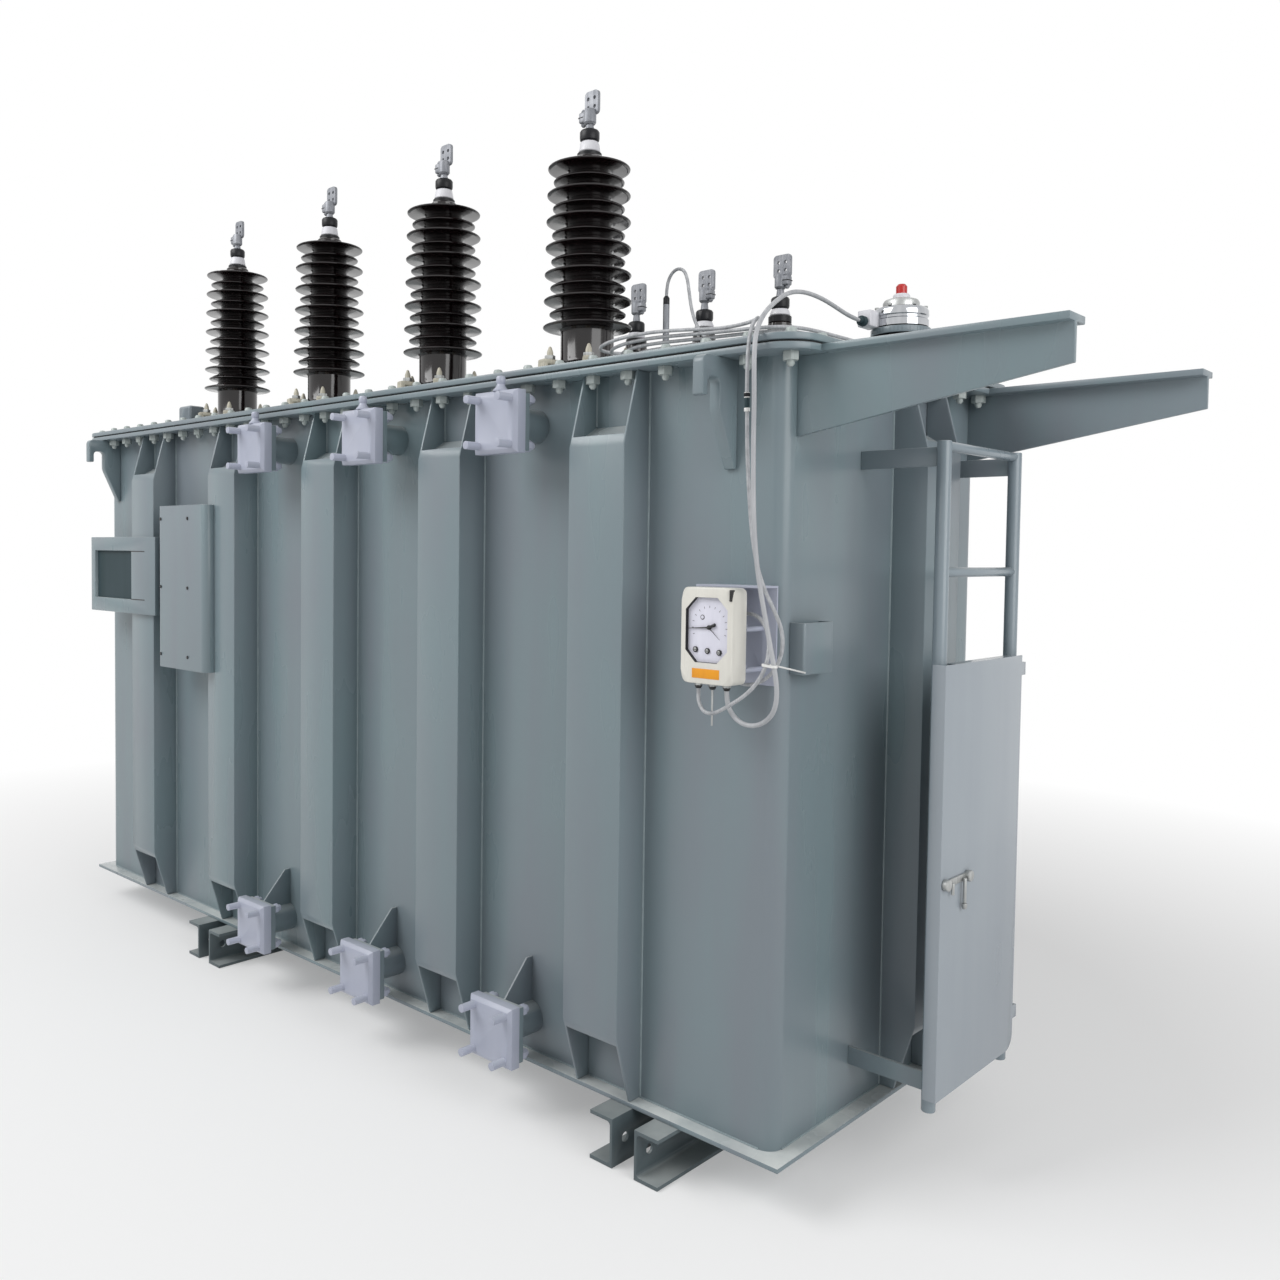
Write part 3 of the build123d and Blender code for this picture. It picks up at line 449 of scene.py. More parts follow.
def layCord(name, points, diameter, label):
    curve = bpy.data.curves.new(name, "CURVE")
    curve.dimensions = "3D"
    curve.bevel_depth = diameter / 2
    curve.bevel_resolution = 4
    curve.resolution_u = 8
    curve.use_fill_caps = True
    spline = curve.splines.new("NURBS")
    spline.points.add(len(points) - 1)
    for point, place in zip(spline.points, points):
        point.co = (*at(*place), 1)
    spline.order_u = 3
    spline.use_endpoint_u = True
    curve.materials.append(finish[label])
    cord = addObject(name, curve)
    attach(cord, "transformer")
    return cord


def hankPoints(plan):
    points = []
    perTurn = len(plan["turn"])
    total = plan["turns"] * perTurn + plan["lastRun"]
    for count in range(total):
        (x, y), (inX, inY), bow = plan["turn"][count % perTurn]
        moved = plan["step"] * (total - count) / perTurn
        level = plan["low"] + plan["rise"] * count / perTurn + bow * count / total
        points.append((x + inX * moved, y + inY * moved, level))
    return points


cable = layCord("reliefCable", reliefCable["route"], reliefCable["diameter"], "cableSheath")
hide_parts("relief_cable")
capillaryPath = capillary["wellRoute"] + hankPoints(capillary) + capillary["gaugeRoute"]
tube = layCord("thermometerCapillary", capillaryPath, capillary["diameter"], "capillaryBraid")
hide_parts("well_capillary", "capillary_hank", "gauge_capillary")

# Where the capillary's sheath ends: bands and a dark sleeve on the run down the wall
sheathEnd = dict(
    top=(1.700, -0.617, 1.938), low=(1.699, -0.613, 1.862), edge=0.0006,
    bands=[  # start and end as shares of the run, radius and finish
        (0.48, 0.50, 0.0068, 0), (0.50, 0.60, 0.0072, 1), (0.60, 0.63, 0.0068, 0),
        (0.63, 0.92, 0.0058, 2), (0.92, 1.03, 0.0068, 0),
    ],
)


def makeSheathEnd(plan):
    bm = bmesh.new()
    top, low = at(*plan["top"]), at(*plan["low"])
    for start, end, radius, index in plan["bands"]:
        addRod(bm, top.lerp(low, start), top.lerp(low, end), radius, edge=plan["edge"], index=index)
    return finishPiece("sheathEnd", bm, ["tieWhite", "blackSeal", "windowDark"])


sheathBands = makeSheathEnd(sheathEnd)

# Tie round both cords beside the thermometer, with its tail on the cable plate
cordTie = dict(
    middle=(1.766, -0.606, 1.294), turn=28, stretch=0.0185, radius=0.0085, height=0.006, thickness=0.0014,
    tailStart=(1.789, -0.604, 1.297), tailEnd=(1.769, -0.464, 1.272), tailRadius=0.002, tailEdge=0.0005,
)


def makeCordTie(plan):
    bm = bmesh.new()
    strap = bmesh.new()
    loop = bmesh.ops.create_circle(strap, cap_ends=False, segments=32, radius=plan["radius"])["verts"]
    for vert in loop:
        vert.co.x += plan["stretch"] if vert.co.x > 0 else -plan["stretch"]
    raised = bmesh.ops.extrude_edge_only(strap, edges=strap.edges[:])["geom"]
    upper = [item for item in raised if isinstance(item, bmesh.types.BMVert)]
    bmesh.ops.translate(strap, vec=(0, 0, plan["height"]), verts=upper)
    bmesh.ops.recalc_face_normals(strap, faces=strap.faces)
    bmesh.ops.solidify(strap, geom=strap.faces[:], thickness=plan["thickness"])
    place = Matrix.Translation(at(*plan["middle"])) @ Matrix.Rotation(radians(-plan["turn"]), 4, "Z")
    bmesh.ops.transform(strap, matrix=place, verts=strap.verts)
    joinPart(bm, strap, 0)
    addRod(
        bm, at(*plan["tailStart"]), at(*plan["tailEnd"]), plan["tailRadius"], sides=10,
        edge=plan["tailEdge"],
    )
    finishPiece("cordTie", bm, ["tieWhite"])


makeCordTie(cordTie)
print("cords laid")


# Painted plates keep the frame's shape, with their edges eased
easedPlates = {
    "tankEnamel": {
        "tank_rim": 0.0025, "cover_plate": 0.0025, "front_stiffeners": 0.004,
        "back_stiffeners": 0.004, "left_end_stiffener": 0.004, "right_end_stiffener": 0.004,
        "conservator_bracket_front": 0.0018, "conservator_bracket_back": 0.0018, "lifting_hooks": 0.003,
        "front_upper_stubs": 0.0015, "front_lower_stubs": 0.0015, "back_upper_stubs": 0.0015,
        "back_lower_stubs": 0.0015, "front_tray": 0.0015, "nameplate_frame": 0.002,
        "cable_plate": 0.0012, "cover_box": 0.0005, "ladder_bars": 0.002, "relief_riser": 0.002,
    },
    "footEnamelPaintedSheen": {"base_plate": 0.002},
    "skidEnamel": {"left_skid_channels": 0.003, "right_skid_channels": 0.003},
    "doorEnamel": {"ladder_guard_door": 0.0012},
    "blankEnamel": {
        "front_upper_blanking_plates": 0.0025, "front_lower_blanking_plates": 0.0025,
        "back_upper_blanking_plates": 0.0025, "back_lower_blanking_plates": 0.0025,
        "gauge_bracket": 0.001,
    },
    "railEnamel": {"ladder_rails": 0.003, "ladder_rungs": 0.0005},
}
ownMeshes = {  # these keep the frame's mesh and only take a finish
    "tank_front_wall": "tankEnamel", "tank_back_wall": "tankEnamel", "tank_left_end": "tankEnamel",
    "tank_right_end": "tankEnamel", "rim_gasket": "gasketRubber",
}


def easeNode(node, edge, label):
    bm = bmesh.new()
    bm.from_mesh(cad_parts[node].data)
    bmesh.ops.remove_doubles(bm, verts=bm.verts, dist=1e-5)
    bmesh.ops.dissolve_limit(bm, angle_limit=radians(0.5), verts=bm.verts, edges=bm.edges)
    roundEdges(bm, bm.verts, edge, segments=2, sharp=40)
    body = "guard_door" if node == "ladder_guard_door" else "transformer"
    finishPiece("eased_" + node, bm, [label], [node], body)


for label, nodes in easedPlates.items():
    for node, edge in nodes.items():
        easeNode(node, edge, label)
for node, label in ownMeshes.items():
    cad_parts[node].data.materials.clear()
    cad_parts[node].data.materials.append(finish[label])
print("plates eased")

# Bolts round the rim: a low round head on the cover, a nut and a thread end under the rim
rimBolt = dict(
    first=1.648, pitch=0.1205, count=28, endCount=8, endReach=0.42, inset=0.039, cornerShift=0.0149,
    turnStep=0.9, headRadius=0.013, washerRadius=0.019, washerHeight=0.003,
    head=[(1, 0), (1, 0.008), (0.75, 0.013), (0, 0.015)],  # shares of the radius and heights
    nutRadius=0.0195, nutHeight=0.021, nutEdge=0.0015, threadRadius=0.0095,
    thread=[(1, 0), (1, 0.007), (0.55, 0.013)],
)


def makeRimBolts(plan):
    single = bmesh.new()
    washer, head, thread = plan["washerRadius"], plan["headRadius"], plan["threadRadius"]
    low = coverTop + plan["washerHeight"]
    top = [(head * share, low + height) for share, height in plan["head"]]
    addTurned(single, [(washer, coverTop), (washer, low), *top], (0, 0, 0), 18)
    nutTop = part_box("tank_rim")[0].z
    nutLow = nutTop - plan["nutHeight"]
    addRod(single, (0, 0, nutTop), (0, 0, nutLow), plan["nutRadius"], sides=6, edge=plan["nutEdge"])
    tail = [(thread * share, nutLow - drop) for share, drop in plan["thread"]]
    addTurned(single, tail, (0, 0, 0), 14)
    shape = keepShape("rimBoltShape", single)
    bm = bmesh.new()
    lineX = (coverHigh.x - coverLow.x) / 2 - plan["inset"]
    lineY = coverHigh.y - plan["inset"]
    spots = []
    for count in range(plan["count"]):
        x = plan["first"] - plan["pitch"] * count
        spots += [(x, -lineY), (x, lineY)]
    for count in range(plan["endCount"]):
        y = plan["endReach"] * (2 * count / (plan["endCount"] - 1) - 1)
        spots += [(-lineX, y), (lineX, y)]
    for signX in (-1, 1):
        for signY in (-1, 1):
            spots.append((signX * (lineX - plan["cornerShift"]), signY * (lineY - plan["cornerShift"])))
    for count, (x, y) in enumerate(spots):
        turn = Matrix.Rotation(plan["turnStep"] * count, 4, "Z")
        addCopy(bm, shape, Matrix.Translation((tankX + x, y, 0)) @ turn)
    finishPiece("rimBolts", bm, ["boltEnamel"])


makeRimBolts(rimBolt)
print("rim bolted")

# Weld seams along the stiffeners, inside their open heads and round the tank's foot
weldSeamWithPaintedHighlight = dict(
    stiffeners=[-1.232, -0.616, 0.0, 0.616, 1.232], half=0.094, sheet=0.008, wall=0.500, radius=0.003,
    sides=8, low=0.139, high=1.998, headLow=1.873, endWall=1.728, endOffset=0.100,
    footReach=(1.690, 0.462),
)


def makeWeldSeams(plan):
    bm = bmesh.new()
    wall, end, half = plan["wall"], plan["endWall"], plan["half"]
    low, high = plan["low"], plan["high"]
    along, across = plan["footReach"]

    def seam(first, last):
        addRod(bm, at(*first), at(*last), plan["radius"], sides=plan["sides"])

    for side in (-1, 1):
        for x in plan["stiffeners"]:
            for way in (-1, 1):
                outer, inner = x + way * half, x + way * (half - plan["sheet"])
                seam((outer, side * wall, low), (outer, side * wall, high))
                seam((inner, side * wall, plan["headLow"]), (inner, side * wall, high))
        for way in (-1, 1):
            y = plan["endOffset"] + way * half
            seam((side * end, y, low), (side * end, y, high))
        seam((-along, side * wall, low), (along, side * wall, low))
        seam((side * end, -across, low), (side * end, across, low))
    # the beads take the lighter weld finish, a painted highlight
    finishPiece("weldSeams", bm, ["weldSeamWithPaintedHighlight"])


makeWeldSeams(weldSeamWithPaintedHighlight)

# Nuts and stud ends behind the radiator flanges, and a vent plug on each upper blanking plate
flangeFitting = dict(
    along=[-0.308, 0.308, 0.924], upper=1.887, lower=0.235, stud=0.061, flangeBack=0.605, nutRadius=0.017,
    nutHeight=0.015, nutEdge=0.0015, studRadius=0.0105, studTail=0.012, studEdge=0.003, plateTop=0.083,
    plugY=0.640, plugRadius=0.021,
    plug=[  # shares of the radius and heights
        (1, 0), (1, 0.004), (0.72, 0.010), (0.52, 0.017), (0.50, 0.020),
        (0.60, 0.023), (0.60, 0.036), (0.48, 0.041), (0, 0.043),
    ],
)


def makeFlangeFittings(plan):
    bm = bmesh.new()
    plug = [(plan["plugRadius"] * share, height) for share, height in plan["plug"]]
    offsets = (-plan["stud"], plan["stud"])
    for side in (-1, 1):
        for x in plan["along"]:
            for level in (plan["upper"], plan["lower"]):
                for right in offsets:
                    for rise in offsets:
                        start = at(x + right, side * plan["flangeBack"], level + rise)
                        nut = start - Vector((0, side * plan["nutHeight"], 0))
                        tail = nut - Vector((0, side * plan["studTail"], 0))
                        addRod(bm, start, nut, plan["nutRadius"], sides=6, edge=plan["nutEdge"])
                        addRod(bm, nut, tail, plan["studRadius"], sides=16, edge=plan["studEdge"])
            addTurned(bm, plug, at(x, side * plan["plugY"], plan["upper"] + plan["plateTop"]), 28)
    finishPiece("flangeFittings", bm, ["blankEnamel"])


makeFlangeFittings(flangeFitting)
print("seams and flange fittings made")

# High voltage bushings: a turned porcelain body with alternating sheds
hvBushing = dict(
    footRadius=0.112, footHeight=0.030, baseRadius=0.076, topRadius=0.058, neckRadius=0.042,
    firstShed=0.146, shedStep=0.037, shedCount=13, shedRadius=0.127, shrink=0.00085, smallStep=0.017,
    edgeRadius=0.0025, height=0.622,
)


def bushingOutline(plan):
    base, foot, rise = plan["baseRadius"], plan["footRadius"], plan["footHeight"]
    neck, top, edge = plan["neckRadius"], plan["height"], plan["edgeRadius"]
    points = [
        (foot - 0.004, 0), (foot, 0.004), (foot, rise - 0.010), (foot - 0.006, rise - 0.003),
        (foot - 0.018, rise), (base + 0.012, rise + 0.004), (base + 0.004, rise + 0.010),
        (base, rise + 0.020),
    ]
    for count in range(plan["shedCount"]):
        level = plan["firstShed"] + plan["shedStep"] * count
        along = count / (plan["shedCount"] - 1)
        core = base - (base - plan["topRadius"]) * along
        reach = plan["shedRadius"] - plan["shrink"] * count - (plan["smallStep"] if count % 2 else 0)
        points += [  # under the shed, round its edge and back over its top
            (core, level - 0.015), (core + 0.005, level - 0.0095), (core + 0.016, level - 0.0075),
            (reach - 0.010, level - 2.6 * edge), (reach - 0.004, level - 2.5 * edge),
            (reach - 0.001, level - 1.9 * edge), (reach, level - edge), (reach - 0.001, level - 0.3 * edge),
            (reach - 0.004, level + 0.0006), (core + 0.020, level + 0.0075),
            (core + 0.006, level + 0.0125), (core, level + 0.019),
        ]
    points[-1] = (neck + 0.008, level + 0.016)  # the last shed runs into the neck
    return points + [(neck, level + 0.022), (neck, top - 0.004), (neck - 0.004, top)]


hvOutline = bushingOutline(hvBushing)
hvSpots = []
for number in range(1, 5):
    node = f"hv_bushing_{number}"
    low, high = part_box(node)
    spot = Vector(((low.x + high.x) / 2, (low.y + high.y) / 2, coverTop))
    hvSpots.append(spot)
    bm = bmesh.new()
    addTurned(bm, hvOutline, spot, 64)
    finishPiece(f"hvPorcelain_{number}", bm, ["brownGlaze"], [node])

# Cast claws, studs and nuts that hold each foot down
holdDown = dict(
    count=6, turn=15, clawIn=0.092, clawOut=0.152, clawWidth=0.034, clawTop=0.013, legIn=0.136,
    studOut=0.122, studRadius=0.009, nutRadius=0.015, nutHeight=0.012,
    stud=[(1, 0.033), (0.82, 0.039), (0.45, 0.048), (0, 0.051)],  # shares of the radius and heights
)


def makeHoldDowns(plan):
    single = bmesh.new()
    foot, half, stud = hvBushing["footHeight"], plan["clawWidth"] / 2, plan["studRadius"]
    seat, axis = foot + plan["clawTop"], Vector((plan["studOut"], 0, 0))
    addBlock(single, (plan["clawIn"], -half, foot - 0.001), (plan["clawOut"], half, seat), 0.004)
    addBlock(single, (plan["legIn"], -half, 0), (plan["clawOut"], half, foot + 0.004), 0.003)
    end = [(stud * share, foot + height) for share, height in plan["stud"]]
    addTurned(single, [(stud, 0), *end], axis, 16)
    addPost(single, axis, seat, seat + plan["nutHeight"], plan["nutRadius"], sides=6, edge=0.0012, index=1)
    shape = keepShape("holdDownShape", single)
    bm = bmesh.new()
    for spot in hvSpots:
        for count in range(plan["count"]):
            angle = radians(plan["turn"] + 360 * count / plan["count"])
            addCopy(bm, shape, Matrix.Translation(spot) @ Matrix.Rotation(angle, 4, "Z"))
    finishPiece("hvHoldDowns", bm, ["creamClamp", "zincPlate"])


makeHoldDowns(holdDown)

# Terminal stack: black collar, white cone, black cap, clamp with its bolt, drilled palm
hvTerminal = dict(
    collarRadius=0.035, collarHeight=0.012, coneTop=0.042, coneRadius=0.031, coneTip=0.026, capTop=0.077,
    capRadius=0.028, stemTop=0.094, stemRadius=0.013, stemTip=0.010, clampRadius=0.018, clampHeight=0.044,
    earSide=-1, earReach=0.033, earHalf=(0.013, 0.015), slitShadeHalf=0.0014, slitShadeProud=0.0004,
    boltRadius=0.0075, boltInset=0.009,
    bolt=[(-0.024, 0.025, 0.6, 16), (-0.021, -0.014, 1, 6), (0.014, 0.021, 1, 6)],  # shank and nuts
    palmWidth=0.050, palmThickness=0.010, palmHeight=0.066, palmCorner=0.011, holeRadius=0.0055,
    holeSpacing=0.024, height=0.188,
)
terminalFinishes = ["tinnedMetal", "blackSeal", "whiteSeal"]


def addPalm(bm, spot, plan):
    part = bmesh.new()
    width, height, thick = plan["palmWidth"], plan["palmHeight"], plan["palmThickness"]
    middle = spot + Vector((0, thick / 2, plan["height"] - height / 2))
    bmesh.ops.create_grid(part, x_segments=2, y_segments=2, size=0.5)
    flat = Matrix.Rotation(pi / 2, 4, "X") @ Matrix.Diagonal((width, height, 1, 1))
    bmesh.ops.transform(part, matrix=Matrix.Translation(middle) @ flat, verts=part.verts)
    corners = [vert for vert in part.verts if len(vert.link_edges) == 2]
    bevel(part, corners, plan["palmCorner"], 4, "VERTICES")
    half = plan["holeSpacing"] / 2
    for face in list(part.faces):  # one hole in each quarter
        way = face.calc_center_median() - middle
        hole = middle + Vector((half if way.x > 0 else -half, 0, half if way.z > 0 else -half))
        bmesh.ops.inset_individual(part, faces=[face], thickness=0.001)
        bmesh.ops.subdivide_edges(part, edges=list(face.edges), cuts=1)
        for vert in list(face.verts):
            vert.co = hole + (vert.co - hole).normalized() * plan["holeRadius"]
        bmesh.ops.delete(part, geom=[face], context="FACES_ONLY")
    bmesh.ops.solidify(part, geom=list(part.faces), thickness=thick)
    bmesh.ops.recalc_face_normals(part, faces=part.faces)
    joinPart(bm, part, 0)


def addTerminal(bm, spot, plan):
    rise, collar = plan["collarHeight"], plan["collarRadius"]
    addTurned(bm, [(collar, 0), (collar, rise - 0.003), (collar - 0.003, rise)], spot, 40, 1)
    cone, tip, low = plan["coneRadius"], plan["coneTip"], plan["coneTop"]
    addTurned(bm, [
        (cone - 0.002, rise), (cone, rise + 0.003), (cone - 0.001, rise + 0.008),
        (tip + 0.001, low - 0.004), (tip - 0.002, low),
    ], spot, 40, 2)
    cap, high = plan["capRadius"], plan["capTop"]
    addTurned(bm, [
        (cap - 0.006, low), (cap - 0.001, low + 0.005), (cap, low + 0.011),
        (cap, high - 0.008), (cap - 0.003, high - 0.003), (cap - 0.009, high),
    ], spot, 40, 1)
    addTurned(bm, [(plan["stemRadius"], high), (plan["stemTip"], plan["stemTop"])], spot, 24)
    base, ball = plan["stemTop"] - 0.002, plan["clampRadius"]
    top = base + plan["clampHeight"]
    addTurned(bm, [
        (ball - 0.004, base), (ball, base + 0.005), (ball, top - 0.008),
        (ball - 0.003, top - 0.002), (ball - 0.008, top),
    ], spot, 32)
    side, reach, middle = plan["earSide"], plan["earReach"], (base + top) / 2
    deep, tall = plan["earHalf"]
    near, far = sorted((side * ball * 0.4, side * reach))
    addBlockAt(bm, spot, (near, -deep, middle - tall), (far, deep, middle + tall), 0.005, 0, 3)
    # the slit is a thin black strip standing slightly proud: painted shade in the clamp's gap
    slit, proud = plan["slitShadeHalf"], plan["slitShadeProud"]
    near, far = sorted((side * ball * 0.8, side * (reach + proud)))
    deep += proud
    addBlockAt(bm, spot, (near, -deep, middle - slit), (far, deep, middle + slit), 0, 1)
    bolt = spot + Vector((side * (reach - plan["boltInset"]), 0, middle))
    for start, end, share, sides in plan["bolt"]:
        addPost(bm, bolt, start, end, plan["boltRadius"] * share, sides=sides, edge=0.001)
    addPalm(bm, spot, plan)


for number, spot in enumerate(hvSpots, start=1):
    bm = bmesh.new()
    addTerminal(bm, spot + lift(hvBushing["height"]), hvTerminal)
    finishPiece(f"hvTerminal_{number}", bm, terminalFinishes, [f"hv_terminal_{number}"])
print("high voltage bushings made")

# Low voltage bushings and their terminals
lvBushing = dict(
    spots=[0.655, 0.940, 1.225], back=0.232, footRadius=0.070, footHeight=0.024, core=0.036, shed=0.058,
    firstShed=0.070, step=0.052, count=3, height=0.210,
)
lvTerminal = dict(
    hvTerminal, collarHeight=0.020, coneTop=0.040, capTop=0.078, stemTop=0.104, palmWidth=0.060,
    palmHeight=0.070, height=0.206, earSide=1,
)


def makeLowVoltage(plan):
    foot, rise, top = plan["footRadius"], plan["footHeight"], plan["height"]
    core, shed = plan["core"], plan["shed"]
    outline = [(foot, 0), (foot, rise - 0.005), (foot - 0.006, rise), (core + 0.004, rise + 0.006)]
    for count in range(plan["count"]):
        level = plan["firstShed"] + plan["step"] * count
        outline += [(core, level - 0.012), (shed - 0.004, level - 0.005), (shed, level - 0.0025)]
        outline += [(shed - 0.004, level), (core + 0.002, level + 0.011)]
    outline += [(core, top - 0.004), (core - 0.004, top)]
    porcelain = bmesh.new()
    metal = bmesh.new()
    for x in plan["spots"]:
        spot = at(x, plan["back"], coverTop)
        addTurned(porcelain, outline, spot, 48)
        addTerminal(metal, spot + lift(top), lvTerminal)
    finishPiece("lvPorcelain", porcelain, ["brownGlaze"], ["lv_bushings"])
    finishPiece("lvTerminals", metal, terminalFinishes, ["lv_terminals"])


makeLowVoltage(lvBushing)
print("low voltage bushings made")

# Winding thermometer: faceted case, sunk dial, needles, knobs, strip, glands and test rod
gauge = dict(
    centre=1.609, low=1.244, high=1.466, width=0.146, front=-0.630, back=-0.574, round=0.014, edge=0.004,
    facet=(0.024, 0.009, 0.032), window=(0.059, 0.075), windowCut=0.028, windowCentre=1.368,
    dialDepth=0.010, hub=(0.002, 0.006), needleLift=0.0035,
    needles=[(-0.057, -0.004, 0.0020), (0.031, -0.027, 0.0010)], balance=(0.018, 0.007),
    ring=(-0.018, 0.029), knobs=[(-0.036, -0.046), (-0.002, -0.048), (0.031, -0.050)], knobRadius=0.0068,
    ticks=13, tickTurn=(200, 220), tickReach=(0.045, 0.050), tickRadius=0.0005, strip=(0.077, 0.022),
    stripHeight=1.268, latch=(0.068, 0.205), glands=[-0.040, 0, 0.040], glandRadius=0.010, glandTip=0.0065,
    glandLength=0.014, glandY=-0.602, rodRadius=0.0025, rodLow=1.146,
)


def caseShell(plan):
    part = bmesh.new()
    x, half = plan["centre"], plan["width"] / 2
    low, high = at(x - half, plan["front"], plan["low"]), at(x + half, plan["back"], plan["high"])
    place = Matrix.Translation((low + high) / 2) @ Matrix.Diagonal((*(high - low), 1))
    bmesh.ops.create_cube(part, size=1.0, matrix=place)
    lengthways = [edge for edge in part.edges if abs(edge.verts[0].co.y - edge.verts[1].co.y) > 0.01]
    bevel(part, lengthways, plan["round"], 4)
    wide, deep, tall = plan["facet"]
    for signX in (-1, 1):
        for signZ in (-1, 1):  # a sloped facet across each front corner
            corner = Vector((high.x if signX > 0 else low.x, low.y, high.z if signZ > 0 else low.z))
            across = Vector((signX / wide, -1 / deep, signZ / tall))
            bmesh.ops.bisect_plane(
                part, geom=part.verts[:] + part.edges[:] + part.faces[:], dist=1e-6,
                plane_co=corner - Vector((signX * wide, 0, 0)), plane_no=across, clear_outer=True,
            )
            bmesh.ops.holes_fill(part, edges=part.edges, sides=0)
    bmesh.ops.recalc_face_normals(part, faces=part.faces)
    roundEdges(part, part.verts, plan["edge"], segments=3, sharp=18)
    pane = max((face for face in part.faces if face.normal.y < -0.999), key=lambda face: face.calc_area())
    bmesh.ops.inset_region(part, faces=[pane], thickness=0.004, use_even_offset=True)
    (halfX, halfZ), slant = plan["window"], plan["windowCut"]
    middle = (low + high) / 2
    for vert in pane.verts:  # the inner ring becomes the eight-sided window
        signX, signZ = (1 if vert.co.x > middle.x else -1), (1 if vert.co.z > middle.z else -1)
        beside = abs(vert.co.x - middle.x) / (high.x - low.x) > abs(vert.co.z - middle.z) / (high.z - low.z)
        right, up = (halfX, halfZ - slant) if beside else (halfX - slant, halfZ)
        vert.co.x, vert.co.z = middle.x + signX * right, plan["windowCentre"] + signZ * up
    bmesh.ops.inset_region(
        part, faces=[pane], thickness=0.0008, depth=-plan["dialDepth"], use_even_offset=True
    )
    pane.material_index = 1
    for edge in pane.edges:
        for face in edge.link_faces:
            if face is not pane:
                face.material_index = 2
    return part


def makeGauge(plan):
    bm = bmesh.new()
    x, front, middle = plan["centre"], plan["front"], plan["windowCentre"]
    joinPart(bm, caseShell(plan))
    dialY = front + plan["dialDepth"]

    def disc(right, up, radius, height, index):
        spot = at(x + right, dialY + 0.001, middle + up)
        addRod(bm, spot, spot - Vector((0, height + 0.001, 0)), radius, edge=0.0006, index=index)

    hubX, hubZ = plan["hub"]
    disc(hubX, hubZ, 0.0055, 0.004, 2)
    hub = at(x + hubX, dialY - plan["needleLift"], middle + hubZ)
    for right, up, thick in plan["needles"]:
        addRod(bm, hub, hub + Vector((right, 0, up)), thick, thick * 0.35, 10, index=2)
    right, up = plan["balance"]
    addRod(bm, hub, hub + Vector((right, 0, up)), 0.0028, 0.0042, 14, 0.001, 2)
    disc(*plan["ring"], 0.0058, 0.0008, 2)
    disc(*plan["ring"], 0.0042, 0.0012, 1)
    for right, up in plan["knobs"]:
        disc(right, up, plan["knobRadius"], 0.003, 2)
        disc(right, up, plan["knobRadius"] * 0.62, 0.0042, 4)
        # the screw slot on each knob is a thin black strip: painted shade in the slot
        slot = at(x + right, dialY, middle + up)
        addBlockAt(bm, slot, (-0.004, -0.0047, -0.0007), (0.004, -0.003, 0.0007), 0, 2)
    start = at(x + hubX, dialY - 0.0001, middle + hubZ)
    first, span = plan["tickTurn"]
    inner, outer = plan["tickReach"]
    for count in range(plan["ticks"]):
        angle = radians(first - span * count / (plan["ticks"] - 1))
        way = Vector((cos(angle), 0, sin(angle)))
        addRod(bm, start + way * inner, start + way * outer, plan["tickRadius"], sides=6, index=2)
    wide, tall = plan["strip"]
    strip = at(x, front, plan["stripHeight"])
    addBlockAt(bm, strip, (-wide / 2, -0.0008, -tall / 2), (wide / 2, 0.001, tall / 2), 0.0004, 3)
    right, up = plan["latch"]
    latch = at(x + right, front, plan["low"] + up)
    addBlockAt(bm, latch, (-0.003, -0.003, -0.013), (0.003, 0.010, 0.013), 0.001, 2)
    for offset in plan["glands"]:
        top = at(x + offset, plan["glandY"], plan["low"])
        low = top - lift(plan["glandLength"])
        addRod(bm, top, top.lerp(low, 0.5), plan["glandRadius"], sides=6, edge=0.001, index=4)
        addRod(bm, top.lerp(low, 0.45), low, plan["glandRadius"] * 0.92, plan["glandTip"], 20, 0.0008, 2)
    rodTop = at(x, plan["glandY"], plan["low"] - plan["glandLength"])
    rodLow = at(x, plan["glandY"], plan["rodLow"])
    addRod(bm, rodTop, rodLow, plan["rodRadius"], sides=12, edge=0.0008, index=4)
    caseFinishes = ["creamCase", "dialWhite", "dialBlack", "orangeStrip", "zincPlate"]
    finishPiece("gaugeCase", bm, caseFinishes, ["gauge_box"])


makeGauge(gauge)
print("thermometer made")

# Relief valve: polished cover over a black base, red pin and switch
reliefValve = dict(
    centre=(1.650, 0.180), flangeLow=2.145, flangeTop=2.163, flangeRadius=0.080, ringTop=2.220,
    ringRadius=0.074, tierTop=2.245, tierRadius=0.049, pinTop=2.287, pinRadius=0.017,
    switchLow=(1.580, 0.068, 2.163), switchHigh=(1.620, 0.128, 2.207), glandTip=(1.600, 0.040, 2.176),
    bolts=6, boltTurn=30, boltCircle=0.064, boltRadius=0.006, boltHeight=0.006,
)


